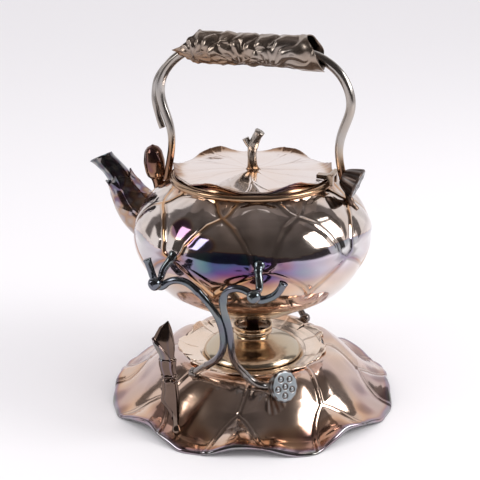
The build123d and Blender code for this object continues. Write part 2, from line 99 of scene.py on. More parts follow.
def solid(name, points, four, three=None):
    """A closed mesh object from points, quads and triangles, with its faces turned outwards."""
    three = np.zeros((0, 3), int) if three is None else three
    mesh = bpy.data.meshes.new(name)
    mesh.vertices.add(len(points))
    mesh.vertices.foreach_set("co", place(points).astype(np.float32).ravel())
    corners = np.concatenate([four.ravel(), three.ravel()]).astype(np.int32)
    starts = np.concatenate([4 * np.arange(len(four)), 4 * len(four) + 3 * np.arange(len(three))])
    mesh.loops.add(len(corners))
    mesh.loops.foreach_set("vertex_index", corners)
    mesh.polygons.add(len(starts))
    mesh.polygons.foreach_set("loop_start", starts.astype(np.int32))
    mesh.update(calc_edges=True)
    mesh.validate()
    tidy = bmesh.new()
    tidy.from_mesh(mesh)
    bmesh.ops.recalc_face_normals(tidy, faces=tidy.faces)
    tidy.to_mesh(mesh)
    tidy.free()
    mesh.shade_smooth()
    return linked(name, mesh)


def skin(name, rings):
    """Rings of points joined into a tube, closed at both ends by a fan to the middle of the ring."""
    rows, cols = rings.shape[:2]
    points = np.concatenate([rings.reshape(-1, 3), rings[0].mean(0)[None], rings[-1].mean(0)[None]])
    j = np.arange(cols)
    first = np.stack([np.full(cols, rows * cols), (j + 1) % cols, j], -1)
    last = np.stack([np.full(cols, rows * cols + 1), (rows - 1) * cols + j,
                     (rows - 1) * cols + (j + 1) % cols], -1)
    return solid(name, points, quads(rows, cols, False, True), np.concatenate([first, last]))


def hoop(name, rings):
    """Rings of points joined side by side and last to first, as a ring or a wall with a hole."""
    rows, cols = rings.shape[:2]
    return solid(name, rings.reshape(-1, 3), quads(rows, cols, True, True))


def sheet(name, face, back):
    """Two grids of the same size, face and back of a sheet, joined along their four edges."""
    rows, cols = face.shape[:2]
    four = quads(rows, cols, False, False)
    count = rows * cols
    edge = np.concatenate([np.arange(cols), np.arange(1, rows) * cols + cols - 1,
                           (rows - 1) * cols + np.arange(cols - 2, -1, -1),
                           np.arange(rows - 2, 0, -1) * cols])
    after = np.roll(edge, -1)
    strip = np.stack([edge, after, after + count, edge + count], -1)
    points = np.concatenate([face.reshape(-1, 3), back.reshape(-1, 3)])
    return solid(name, points, np.concatenate([four, four[:, ::-1] + count, strip]))


def joined(name, pieces):
    """Several closed meshes as one object."""
    bpy.ops.object.select_all(action="DESELECT")
    for piece in pieces:
        piece.select_set(True)
    bpy.context.view_layer.objects.active = pieces[0]
    bpy.ops.object.join()
    pieces[0].name = name
    pieces[0].data.name = name
    return pieces[0]


def natural_curve(at, values, where):
    """The natural cubic spline through values at the stations at, read off at where."""
    gap = np.diff(at)
    size = len(at)
    system = np.eye(size)
    right = np.zeros(size)
    inner = np.arange(1, size - 1)
    system[inner, inner - 1] = gap[:-1]
    system[inner, inner] = 2 * (gap[:-1] + gap[1:])
    system[inner, inner + 1] = gap[1:]
    right[1:-1] = 6 * np.diff(np.diff(values) / gap)
    bend = np.linalg.solve(system, right)
    i = np.clip(np.searchsorted(at, where) - 1, 0, size - 2)
    a, b = at[i + 1] - where, where - at[i]
    h = gap[i]
    curve = (bend[i] * a ** 3 + bend[i + 1] * b ** 3) / (6 * h)
    return curve + (values[i] / h - bend[i] * h / 6) * a + (values[i + 1] / h - bend[i + 1] * h / 6) * b


def smooth_path(points, count):
    """The natural cubic spline through the points, read off at equal steps of its length."""
    knots = np.asarray(points, float)
    run = np.concatenate([[0], np.cumsum(np.linalg.norm(np.diff(knots, axis=0), axis=1) ** 0.75)])
    fine = np.linspace(0, run[-1], 12 * count)
    curve = np.stack([natural_curve(run, knots[:, k], fine) for k in range(3)], -1)
    length = np.concatenate([[0], np.cumsum(np.linalg.norm(np.diff(curve, axis=0), axis=1))])
    step = np.linspace(0, length[-1], count)
    return np.stack([np.interp(step, length, curve[:, k]) for k in range(3)], -1)


def tube_rings(path, radius, side, around=32):
    """Circles carried along a path, square to it: centre + r (cos a * across + sin a * over).

    side is a direction that the path never runs along; radius is one number, one for each
    point of the path, or one for each point and angle.
    """
    along = np.gradient(path, axis=0)
    along /= np.linalg.norm(along, axis=1)[:, None]
    across = np.cross(np.asarray(side, float), along)
    across /= np.linalg.norm(across, axis=1)[:, None]
    over = np.cross(along, across)
    angle = np.arange(around) * TAU / around
    radius = np.asarray(radius, float)
    if radius.ndim < 2:
        radius = np.broadcast_to(radius.reshape(-1, 1), (len(path), around))
    ring = np.cos(angle)[None, :, None] * across[:, None] + np.sin(angle)[None, :, None] * over[:, None]
    return path[:, None] + radius[..., None] * ring


def circle(count):
    """The angles of a full turn in equal steps, as a row."""
    return np.arange(count)[None, :] * TAU / count


def azimuths(count):
    """The same in degrees."""
    return (np.arange(count) * 360 / count)[None, :]


def swept(radius, angle, level):
    """Points round the upright axis: x = r cos a, y = r sin a, z = the level."""
    x, y = radius * np.cos(angle), radius * np.sin(angle)
    return np.stack([x, y, level + 0 * x], -1)


def turned(profile, around=96, start=0.0):
    """A profile of radii and heights turned about the upright axis: x, y = r cos a, r sin a."""
    profile = np.asarray(profile, float)
    angle = np.arange(around) * TAU / around + np.radians(start)
    return swept(profile[:, :1], angle, profile[:, 1:2])


def rounded_profile(points, count):
    """A profile of radii and heights whose corners are cut at a quarter of each run, four times."""
    path = np.asarray(points, float)
    for _ in range(4):
        near, far = 0.75 * path[:-1] + 0.25 * path[1:], 0.25 * path[:-1] + 0.75 * path[1:]
        path = np.concatenate([path[:1], np.stack([near, far], 1).reshape(-1, 2)[1:-1], path[-1:]])
    run = np.concatenate([[0], np.cumsum(np.hypot(*np.diff(path, axis=0).T))])
    step = np.linspace(0, run[-1], count)
    return np.stack([np.interp(step, run, path[:, k]) for k in range(2)], -1)


def aimed(points, origin, axis, upward=(0, 0, 1)):
    """Points made round the upright axis, turned so that it lies along axis, and moved to origin."""
    axis = np.asarray(axis, float) / np.linalg.norm(axis)
    across = np.cross(upward, axis)
    across /= np.linalg.norm(across)
    over = np.cross(axis, across)
    turn = np.stack([across, over, axis])
    return points @ turn + np.asarray(origin, float)


def upright(points, origin, axis):
    """Points made round the upright axis, sheared so that it lies along axis, and moved to origin."""
    axis = np.asarray(axis, float)
    return np.asarray(origin, float) + points * (1, 1, 0) + points[..., 2:] * axis


def ripple(x, y, z, scale, seed):
    """A smooth uneven field of about -1 to 1: three crossed sine waves of unlike directions."""
    a = np.sin((x + 0.6 * y + 0.3 * z) / scale + seed)
    b = np.sin((0.7 * y - 0.5 * x + 0.4 * z) / scale * 1.7 + 2.1 * seed)
    c = np.sin((z - 0.4 * x + 0.5 * y) / scale * 2.6 + 3.3 * seed)
    return (a + 0.6 * b + 0.4 * c) / 2


def hump(distance, width):
    """A smooth raised line: 1 on the line, falling off as a bell over its width."""
    return np.exp(-(distance / width) ** 2)


def mark(piece, name, values):
    """Numbers that a finish reads from the surface: one for all, or one for each point of the mesh.

    The few points that close a tube's ends come last and take the mean.
    """
    values = np.asarray(values, np.float32).ravel()
    spare = len(piece.data.vertices) - len(values)
    values = np.concatenate([values, np.full(spare, values.mean(), np.float32)])
    piece.data.attributes.new(name, "FLOAT", "POINT").data.foreach_set("value", values)


def toned(piece, film, veil, grime_and_shade):
    """A plate's three marks: thickness of its film, strength of the film's tint, and darkening by grime and
    painted shade.
    """
    for name, values in (("film", film), ("veil", veil), ("grime_and_shade", grime_and_shade)):
        mark(piece, name, values)
    return piece


def both_faces(fields):
    """Marks of a wall whose inner rows run back along its outer ones."""
    return [np.concatenate([field, field[::-1]]) for field in fields]


def with_plain_rows(fields, before, after, plain):
    """Marks of a face, with plain values on the rows before and after it."""
    rows = ((before, after), (0, 0))
    return [np.pad(field, rows, constant_values=value) for field, value in zip(fields, plain)]


def degrees_from(azimuth, middle):
    """Degrees from a middle azimuth, from -180 to 180."""
    return (azimuth - middle + 180) % 360 - 180


def rising(value, middle, width):
    """A smooth step from 0 below the middle to 1 above it."""
    return 1 / (1 + np.exp(-np.clip((value - middle) / width, -30, 30)))


def dress(piece, body, slot, material, *nodes):
    """Gives a piece its body, its material and the frame nodes that it stands for; its slot is not used."""
    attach(piece, body)
    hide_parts(*nodes)
    piece.data.materials.clear()
    piece.data.materials.append(material)


# =================================================================== finishes

def group(name, inputs, outputs):
    """An empty shader node group with the given inputs and outputs: (name, kind, value)."""
    tree = bpy.data.node_groups.new(name, "ShaderNodeTree")
    for label, kind, value in inputs:
        socket = tree.interface.new_socket(label, in_out="INPUT", socket_type=kind)
        if value is not None:
            socket.default_value = value
    for label, kind in outputs:
        tree.interface.new_socket(label, in_out="OUTPUT", socket_type=kind)
    return tree, tree.nodes.new("NodeGroupInput"), tree.nodes.new("NodeGroupOutput")


def math_node(tree, operation, a, b=None, c=None, clamp=False):
    """One sum on values or sockets; gives its output socket."""
    node = tree.nodes.new("ShaderNodeMath")
    node.operation = operation
    node.use_clamp = clamp
    for socket, value in zip(node.inputs, (a, b, c)):
        if value is None:
            continue
        if isinstance(value, (int, float)):
            socket.default_value = value
        else:
            tree.links.new(value, socket)
    return node.outputs[0]


def noise_node(tree, vector, scale, detail, rough=0.5, distortion=0.0):
    """Clouds at a scale, as a value that varies over the surface."""
    node = tree.nodes.new("ShaderNodeTexNoise")
    node.inputs["Detail"].default_value = detail
    node.inputs["Roughness"].default_value = rough
    node.inputs["Distortion"].default_value = distortion
    if isinstance(scale, (int, float)):
        node.inputs["Scale"].default_value = scale
    else:
        tree.links.new(scale, node.inputs["Scale"])
    tree.links.new(vector, node.inputs["Vector"])
    return node.outputs["Fac"]


def mix_node(tree, share, a, b, blend="MIX"):
    """Two colours mixed by a share."""
    node = tree.nodes.new("ShaderNodeMix")
    node.data_type = "RGBA"
    node.blend_type = blend
    for socket, value in ((node.inputs[0], share), (node.inputs[6], a), (node.inputs[7], b)):
        if isinstance(value, (int, float, tuple)):
            socket.default_value = value
        else:
            tree.links.new(value, socket)
    return node.outputs[2]


FILM_COLOURS = [  # colour of the film at each share of its full thickness
    (0.00, (1.00, 0.97, 0.95)),
    (0.14, (0.95, 0.80, 0.66)),
    (0.28, (0.80, 0.48, 0.24)),
    (0.38, (0.46, 0.18, 0.09)),
    (0.48, (0.27, 0.08, 0.19)),
    (0.58, (0.15, 0.09, 0.32)),
    (0.68, (0.08, 0.13, 0.33)),
    (0.78, (0.09, 0.29, 0.36)),
    (0.88, (0.45, 0.55, 0.50)),
    (1.00, (0.70, 0.55, 0.55)),
]


def tarnish_group():
    """Silver plate under a film that goes from clear through gold, brown and violet to blue.

    The film's thickness runs from one value at a low height to another at a high one, and
    clouds of noise make it uneven. The colour of the film at that thickness tints the metal.
    """
    inputs = [
        ("Vector", "NodeSocketVector", None), ("Metal", "NodeSocketColor", (0.8, 0.78, 0.76, 1)),
        ("Low", "NodeSocketFloat", 0.0), ("High", "NodeSocketFloat", 0.1),
        ("Film low", "NodeSocketFloat", 0.6), ("Film high", "NodeSocketFloat", 0.1),
        ("Clouds", "NodeSocketFloat", 0.3), ("Scale", "NodeSocketFloat", 20.0),
        ("Tint", "NodeSocketFloat", 0.8), ("Film here", "NodeSocketFloat", 0.0),
        ("Grime and shade", "NodeSocketFloat", 0.0),
    ]
    tree, into, out = group("tarnish_film", inputs, [("Color", "NodeSocketColor")])
    into_ = into.outputs
    split = tree.nodes.new("ShaderNodeSeparateXYZ")
    tree.links.new(into_["Vector"], split.inputs[0])
    rise = tree.nodes.new("ShaderNodeMapRange")
    rise.interpolation_type = "SMOOTHSTEP"
    tree.links.new(split.outputs[2], rise.inputs["Value"])
    for label, end in (("Low", "From Min"), ("High", "From Max"),
                       ("Film low", "To Min"), ("Film high", "To Max")):
        tree.links.new(into_[label], rise.inputs[end])
    wide = noise_node(tree, into_["Vector"], into_["Scale"], 2.0, 0.45, 0.6)
    fine_scale = math_node(tree, "MULTIPLY", into_["Scale"], 3.7)
    fine = noise_node(tree, into_["Vector"], fine_scale, 3.0, 0.6, 0.3)
    both = math_node(tree, "MULTIPLY_ADD", fine, 0.3, math_node(tree, "SUBTRACT", wide, 0.65))
    start = math_node(tree, "ADD", rise.outputs["Result"], into_["Film here"])
    depth = math_node(tree, "MULTIPLY", into_["Clouds"], 2.6)
    film = math_node(tree, "MULTIPLY_ADD", both, depth, start, clamp=True)
    ramp = tree.nodes.new("ShaderNodeValToRGB")
    stops = ramp.color_ramp.elements
    while len(stops) < len(FILM_COLOURS):
        stops.new(0.5)
    for stop, (at, colour) in zip(stops, FILM_COLOURS):
        stop.position = at
        stop.color = (*colour, 1)
    tree.links.new(film, ramp.inputs[0])
    tinted = mix_node(tree, into_["Tint"], into_["Metal"], ramp.outputs[0], "MULTIPLY")
    # The tinted metal is mixed towards dark brown by grime and painted shade.
    darkened = mix_node(tree, into_["Grime and shade"], tinted, (0.10, 0.065, 0.05, 1))
    tree.links.new(darkened, out.inputs["Color"])
    return tree


def wear_group():
    """Years of polishing: soft dents for a bump, and roughness from smears and fine scratches."""
    inputs = [("Vector", "NodeSocketVector", None), ("Polish", "NodeSocketFloat", 0.07),
              ("Smear", "NodeSocketFloat", 0.08)]
    outputs = [("Roughness", "NodeSocketFloat"), ("Height", "NodeSocketFloat")]
    tree, into, out = group("hand_polish", inputs, outputs)
    into_ = into.outputs
    smears = noise_node(tree, into_["Vector"], 32.0, 4.0, 0.65, 0.8)
    stretch = tree.nodes.new("ShaderNodeMapping")
    stretch.inputs["Scale"].default_value = (1.0, 1.0, 7.0)
    stretch.inputs["Rotation"].default_value = (0.5, 0.7, 0.3)
    tree.links.new(into_["Vector"], stretch.inputs["Vector"])
    scratches = noise_node(tree, stretch.outputs[0], 420.0, 2.0, 0.7)
    smeared = math_node(tree, "MULTIPLY", smears, into_["Smear"])
    rough = math_node(tree, "ADD", into_["Polish"], smeared)
    marked = math_node(tree, "MULTIPLY_ADD", scratches, 0.03, rough)
    dents = noise_node(tree, into_["Vector"], 45.0, 2.0, 0.4, 0.2)
    height = math_node(tree, "MULTIPLY_ADD", scratches, 0.02, dents)
    tree.links.new(marked, out.inputs["Roughness"])
    tree.links.new(height, out.inputs["Height"])
    return tree


TARNISH = tarnish_group()
WEAR = wear_group()
DENT_DEPTH, THREAD_DEPTH = 0.12 * MM, 0.3 * MM


def plate(name, metal, clouds, scale, by_height=None, tint=0.8, polish=0.06, smear=0.08):
    """Tarnished, hand polished silver plate.

    Its film runs between two values over two heights in mm above the table, given by_height as
    (low, high, film low, film high); without it the plate reads the marks of its piece.
    """
    material = bpy.data.materials.new(name)
    material.use_nodes = True
    tree = material.node_tree
    shader = tree.nodes["Principled BSDF"]
    shader.inputs["Metallic"].default_value = 1.0
    where = tree.nodes.new("ShaderNodeTexCoord").outputs["Object"]
    film = tree.nodes.new("ShaderNodeGroup")
    film.node_tree = TARNISH
    tree.links.new(where, film.inputs["Vector"])
    film.inputs["Metal"].default_value = (*metal, 1)
    low, high, film_low, film_high = by_height or (0, 1, 0.0, 0.0)
    for label, value in (("Low", low * MM), ("High", high * MM), ("Film low", film_low),
                         ("Film high", film_high), ("Clouds", clouds), ("Scale", scale), ("Tint", tint)):
        film.inputs[label].default_value = value
    for own, label in () if by_height else (("film", "Film here"), ("veil", "Tint"), ("grime_and_shade", "Grime and shade")):
        field = tree.nodes.new("ShaderNodeAttribute")
        field.attribute_name = own
        tree.links.new(field.outputs["Fac"], film.inputs[label])
    wear = tree.nodes.new("ShaderNodeGroup")
    wear.node_tree = WEAR
    tree.links.new(where, wear.inputs["Vector"])
    wear.inputs["Polish"].default_value = polish
    wear.inputs["Smear"].default_value = smear
    bump = tree.nodes.new("ShaderNodeBump")
    bump.inputs["Strength"].default_value = 1.0
    bump.inputs["Distance"].default_value = DENT_DEPTH
    tree.links.new(wear.outputs["Height"], bump.inputs["Height"])
    tree.links.new(film.outputs["Color"], shader.inputs["Base Color"])
    tree.links.new(wear.outputs["Roughness"], shader.inputs["Roughness"])
    tree.links.new(bump.outputs[0], shader.inputs["Normal"])
    return material


def cotton():
    """Woven cotton, charred at the lit end: two crossed waves for the weave, darker with height."""
    material = bpy.data.materials.new("cotton_wick")
    material.use_nodes = True
    tree = material.node_tree
    shader = tree.nodes["Principled BSDF"]
    shader.inputs["Roughness"].default_value = 0.95
    where = tree.nodes.new("ShaderNodeTexCoord").outputs["Object"]
    weave = tree.nodes.new("ShaderNodeTexWave")
    weave.wave_type = "BANDS"
    weave.bands_direction = "DIAGONAL"
    weave.inputs["Scale"].default_value = 900.0
    weave.inputs["Distortion"].default_value = 2.0
    tree.links.new(where, weave.inputs["Vector"])
    split = tree.nodes.new("ShaderNodeSeparateXYZ")
    tree.links.new(where, split.inputs[0])
    char = tree.nodes.new("ShaderNodeMapRange")
    char.inputs["From Min"].default_value = 65.5 * MM
    char.inputs["From Max"].default_value = 67.2 * MM
    tree.links.new(split.outputs[2], char.inputs["Value"])
    thread = mix_node(tree, weave.outputs["Fac"], (0.55, 0.48, 0.38, 1), (0.82, 0.76, 0.66, 1))
    burnt = mix_node(tree, char.outputs["Result"], thread, (0.03, 0.025, 0.02, 1))
    tree.links.new(burnt, shader.inputs["Base Color"])
    bump = tree.nodes.new("ShaderNodeBump")
    bump.inputs["Distance"].default_value = THREAD_DEPTH
    tree.links.new(weave.outputs["Fac"], bump.inputs["Height"])
    tree.links.new(bump.outputs[0], shader.inputs["Normal"])
    return material


KETTLE_PLATE = plate("kettle_plate", (0.80, 0.75, 0.73), 0.05, 40.0, polish=0.05)
SPOUT_PLATE = plate("spout_plate", (0.54, 0.51, 0.52), 0.08, 60.0, polish=0.08)
HINGE_PLATE = plate("hinge_plate", (0.45, 0.38, 0.32), 0.15, 60.0, (185, 197, 0.20, 0.12), polish=0.14)
GILT_PLATE = plate("gilt_plate", (0.44, 0.33, 0.24), 0.12, 40.0, (180, 192, 0.22, 0.10), polish=0.14)
LID_PLATE = plate("lid_plate", (0.88, 0.81, 0.79), 0.06, 30.0, polish=0.09)
TWIG_PLATE = plate("twig_plate", (0.42, 0.41, 0.40), 0.10, 30.0, (192, 222, 0.36, 0.05), 0.9, 0.13, 0.12)
KNOB_PLATE = plate("knob_plate", (0.42, 0.39, 0.36), 0.12, 60.0, (193, 203, 0.34, 0.06), 0.9, 0.20, 0.12)
GRIP_PLATE = plate("grip_plate", (0.38, 0.34, 0.31), 0.10, 60.0, polish=0.20)
POD_PLATE = plate("pod_plate", (0.52, 0.56, 0.60), 0.06, 60.0, polish=0.30)
BUD_PLATE = plate("bud_plate", (0.56, 0.50, 0.50), 0.10, 70.0, polish=0.14)
STEM_PLATE = plate("stem_plate", (0.26, 0.265, 0.275), 0.30, 40.0, (38, 110, 0.24, 0.76), 0.42, 0.14)
BASE_PLATE = plate("base_plate", (0.78, 0.67, 0.61), 0.06, 30.0, polish=0.08)
# The young leaf's metal is darker than the base's: painted shade, for a leaf that faces the dark room.
LEAF_PLATE = plate("young_leaf_plate", (0.42, 0.385, 0.36), 0.08, 60.0, polish=0.10)
# The font's metal is darker than the dish's: painted reflection of the dark underside of the kettle above it.
LAMP_PLATE = plate("lamp_plate", (0.56, 0.49, 0.38), 0.08, 25.0, (40, 53, 0.06, 0.26), 0.6, 0.13)
DISH_PLATE = plate("dish_plate", (0.88, 0.76, 0.66), 0.10, 25.0, (25, 60, 0.08, 0.12), 0.6, 0.12)
BURNER_PLATE = plate("burner_plate", (0.80, 0.66, 0.50), 0.10, 50.0, polish=0.12)
BRASS = plate("wick_tube_brass", (0.50, 0.42, 0.34), 0.25, 80.0, (48, 66, 0.2, 0.5), polish=0.25, smear=0.2)
COTTON = cotton()


# =================================================================== kettle

def body_profile(count):
    """The body's half outline from foot to neck: a smooth curve through its few named points."""
    knots = np.array(BODY_POINTS)
    run = np.concatenate([[0], np.cumsum(np.hypot(*np.diff(knots, axis=0).T))])
    step = np.linspace(0, run[-1], count)
    return np.stack([natural_curve(run, knots[:, k], step) for k in range(2)], -1)


# Half widths in degrees of the chased outlines at each height in mm
ARCH_HEIGHT = np.array([142, 143, 147, 151, 154, 158, 162, 166, 171, 174.3, 175.5])
ARCH_HALF = np.array([22.5, 19.5, 17.7, 17.0, 16.8, 15.0, 13.5, 11.0, 7.4, 2.0, 0.0])
FAN_HEIGHT = np.array([176, 178.5, 181, 183.5, 185.5, 187])
FAN_HALF = np.array([21.5, 18.6, 17.0, 14.5, 11.0, 0.0])
SKIRT_HEIGHT = np.array([142, 138, 134, 130, 125, 120, 116])
SKIRT_HALF = np.array([0.0, 5.6, 9.8, 13.4, 17.6, 20.6, 22.5])


def line_distance(offset, height, radius, heights, halves):
    """Distance in mm from a boundary whose half width in degrees is a function of height."""
    order = np.argsort(heights)
    half = np.interp(height, heights[order], halves[order])
    slope = np.interp(height, heights[order], np.gradient(halves[order], heights[order]))
    to_mm = np.radians(radius)
    away = (np.abs(offset) - half) * to_mm
    beyond = np.maximum(heights.min() - height, 0) + np.maximum(height - heights.max(), 0)
    square = away / np.sqrt(1 + (slope * to_mm) ** 2)
    return np.where(beyond > 0, np.hypot(square, beyond) * np.sign(square + 1e-9), square)


def body_lines(azimuth, height, radius):
    """Distances in mm from the chased lines of the body: arches, fan tops and skirts.

    Eight arched petals stand round the shoulder with their tops below the mouth. Behind them
    fans fill the gaps and rise to the mouth. Below, two lines fall from each node between two
    arches and meet those of the next nodes low on the belly. Distances are negative inside.
    """
    turn = np.radians(azimuth)
    sway = 1.3 * np.sin(3 * turn + height / 17) + 0.9 * np.sin(5 * turn + 2 - height / 23)
    lift = 1.5 * np.sin(2 * turn + 0.7) + 1.0 * np.sin(7 * turn + 1.9)
    pitch = 360 / PETALS
    node = (azimuth + sway - NODE_AZIMUTH + pitch / 2) % pitch - pitch / 2
    middle = (azimuth + sway - NODE_AZIMUTH) % pitch - pitch / 2
    level = height - lift * np.clip((182 - height) / 40, 0, 1)
    arch = line_distance(middle, level, radius, ARCH_HEIGHT, ARCH_HALF)
    fan = line_distance(node, level, radius, FAN_HEIGHT, FAN_HALF)
    skirt = line_distance(node, level, radius, SKIRT_HEIGHT, SKIRT_HALF)
    return arch, fan, skirt, level


def body_relief(azimuth, height, radius):
    """Height of the chased leaves over the plain body, in mm.

    Each line is a raised cord at the foot of a soft pillow: the metal rises with distance from
    the nearest line and levels off. Arched petals step in front of the fans, and the skirts
    in front of the bowl below them.
    """
    arch, fan, skirt, level = body_lines(azimuth, height, radius)
    nearest = np.min(np.abs([arch, fan, skirt]), axis=0)
    pillow = 1.9 * (1 - np.exp(-(nearest / 6.5) ** 1.4))
    cord = 0.95 * hump(nearest, 1.15)
    in_arch = (1 - rising(arch, 0, 0.7)) * rising(level, 143, 1.5)
    in_skirt = (1 - rising(skirt, 0, 0.7)) * rising(-level, -141, 1.5)
    crease = 0.45 * hump((azimuth - NODE_AZIMUTH) % 45 - 11, 1.4) * rising(level, 150, 5)
    fade = np.clip((level - 84) / 16, 0, 1)
    return fade * (pillow + cord + 0.8 * in_arch + 0.6 * in_skirt - 0.25 * crease)


def body_stain(azimuth, height, radius):
    """Where the plate is toned, how strongly, and where it is darkened by grime and painted shade.

    A violet and blue band circles the belly, the bowl below it goes from orange to champagne,
    and the metal by the mouth is brown. Two arches on the spout side have a pink and a blue
    patch. The lines are gold in places and dark in others.
    """
    arch, fan, skirt = body_lines(azimuth, height, radius)[:3]
    nearest = np.min(np.abs([arch, fan, skirt]), axis=0)
    turn = np.radians(azimuth)
    x, y = 90 * np.cos(turn), 90 * np.sin(turn)
    cloud = ripple(x, y, height, 17, 1.3)
    fine = ripple(x, y, height, 6.5, 4.1)
    # front weights the tint of the band and bowl, and the band's darkening, towards the front and the back;
    # the sides are kept pale as a painted reflection of the white room.
    front = hump(degrees_from(azimuth, -76), 36) + 0.8 * hump(degrees_from(azimuth, 100), 60)
    speck = ripple(x, y, height, 3.1, 0.9)
    band = rising(150 - height + 3.5 * cloud, 0, 1.4) * rising(height - 130 + 4 * fine, 0, 2.0)
    bowl = rising(134 - height + 4 * cloud, 0, 2.2)
    shoulder = rising(-fan, 0, 0.9) * rising(height, 175, 1.5)
    mouth = rising(height, 181 + 1.2 * fine, 1.0) * (1 - 0.6 * shoulder)
    film = 0.10 + 0.05 * cloud
    film = np.where(band > 0.3, 0.64 + 0.09 * cloud + 0.12 * fine + 0.05 * speck, film)
    film = film * (1 - bowl) + bowl * (0.40 - 0.22 * rising(124 - height + 4 * fine, 0, 4) + 0.05 * fine)
    film = film * (1 - mouth) + mouth * (0.33 + 0.05 * fine)
    veil = 0.55 + 0.2 * cloud
    veil = veil * (1 - band) + band * (0.10 + 1.05 * front)
    veil = veil * (1 - bowl) + bowl * (0.25 + 0.65 * front)
    pink = rising(1 - (degrees_from(azimuth, -109) / 7) ** 2 - ((height - 165) / 7) ** 2, 0, 0.15)
    blue = rising(1 - (degrees_from(azimuth, -97) / 8) ** 2 - ((height - 158) / 6) ** 2, 0, 0.2)
    film = film * (1 - pink) + pink * (0.49 + 0.03 * fine)
    film = film * (1 - blue) + blue * (0.63 + 0.06 * fine)
    veil = np.maximum(veil, np.maximum(0.88 * pink, 0.84 * blue))
    veil = np.maximum(veil, 0.8 * mouth)
    line = hump(nearest, 1.5)
    gilded = rising(ripple(x, y, height, 26, 2.2) + 0.2, 0, 0.15)
    film = film * (1 - line * gilded) + 0.28 * line * gilded
    veil = np.clip(veil * (1 - line) + line * (0.55 + 0.45 * gilded), 0, 1)
    haze = rising(speck + 0.6 * fine, 0.35, 0.25) * rising(height, 158, 5)
    grime_and_shade = 0.5 * hump(nearest - 2.0, 0.8) * (0.6 + 0.4 * fine) + 0.30 * line * (1 - gilded)
    # The band's darkening towards the front is painted shade, the dark room's reflection.
    grime_and_shade = grime_and_shade + 0.10 * np.abs(fine) + 0.24 * haze + 0.20 * band * front * rising(cloud + fine, 0, 0.3)
    return np.clip(film, 0, 1), veil, np.clip(grime_and_shade, 0, 0.7)


def kettle_body():
    """The thin shell: out over the lobed belly and back down the plain inside.

    Each point of the outline moves along its normal by the relief: (r, z) + relief * (n_r, n_z).
    """
    columns = 640
    outside = body_profile(150)[::-1]
    azimuth = azimuths(columns) - 180
    r, z = outside[:, :1], outside[:, 1:]
    slope = np.gradient(outside, axis=0)
    slope /= np.linalg.norm(slope, axis=1)[:, None]
    out_r, out_z = -slope[:, 1:], slope[:, :1]
    z_all = np.repeat(z, columns, 1)
    relief = (body_relief(azimuth, z_all, r) - 2.2) * np.clip((185.8 - z) / 2.5, 0, 1)
    outer = swept(r + out_r * relief, np.radians(azimuth), z + out_z * relief)
    floor = turned(FLOOR_BELOW, columns, -180)
    line = body_profile(22)
    line = np.stack([line[:, 0] - BODY_WALL - 1.6, np.maximum(line[:, 1], 81.5)], -1)
    line[-1] = NECK_INSIDE
    inner = turned(np.concatenate([[FLOOR_ABOVE], line]), columns, -180)
    shell = skin("kettle_shell", np.concatenate([inner, outer, floor]))
    stains = body_stain(azimuth, z_all, r)
    return toned(shell, *with_plain_rows(stains, len(inner), len(floor), (0.2, 0.5, 0.2)))


def mouth_ring():
    """The rolled gilt edge of the mouth: a circle turned round the axis, cut back where it sits."""
    turn = np.arange(28) * TAU / 28
    profile = np.stack([RIM_R + RIM_HALF * np.cos(turn), RIM_Z + RIM_HALF * np.sin(turn)], -1)
    return hoop("mouth_ring", turned(profile, 240))


SPOUT_LINE = [(-84.0, 139.0, 19.8), (-101.0, 151.0, 16.8), (-109.3, 162.5, 13.4), (-117.8, 176.5, 9.8),
              (-129.6, 188.4, 9.0), (-141.0, 196.5, 9.6)]
MOUTH_AT = np.array((-132.7, 0.0, 190.0))
MOUTH_UP = np.array((-np.sin(np.radians(26)), 0.0, np.cos(np.radians(26))))


def spout_line(count):
    """Centre line, outside radius and direction of the spout from root to tip, as smooth curves."""
    knots = np.array(SPOUT_LINE)
    run = np.concatenate([[0], np.cumsum(np.hypot(*np.diff(knots[:, :2], axis=0).T))])
    step = np.linspace(0, run[-1], count)
    x, z, r = [natural_curve(run, knots[:, k], step) for k in range(3)]
    path = np.stack([x, np.zeros(count), z], -1)
    way = np.gradient(path, axis=0)
    return path, r, way / np.linalg.norm(way, axis=1)[:, None], step / run[-1]


def spout_points(at, angle, lift):
    """Points of the spout's skin at a share of its length and an angle, lifted off by some mm."""
    path, radius, way, share = spout_line(240)
    centre = np.stack([np.interp(at, share, path[:, k]) for k in range(3)], -1)
    along = np.stack([np.interp(at, share, way[:, k]) for k in range(3)], -1)
    across = np.cross((0.0, 1.0, 0.0), along)
    spoke = np.cos(angle)[..., None] * across + np.sin(angle)[..., None] * np.array((0.0, 1.0, 0.0))
    return centre + spoke * (np.interp(at, share, radius) + lift)[..., None]


def mouth_share(angle, lift):
    """The share of the spout's length at which its skin meets the slanting plane of the mouth."""
    at = np.broadcast_to(np.linspace(0.6, 1.0, 160)[:, None], (160, len(angle)))
    over = (spout_points(at, np.broadcast_to(angle, at.shape), lift) - MOUTH_AT) @ MOUTH_UP
    first = np.clip(np.argmax(over > 0, axis=0), 1, 159)
    column = np.arange(len(angle))
    a, b = over[first - 1, column], over[first, column]
    return 0.6 + 0.4 * (first - 1 + a / (a - b)) / 159


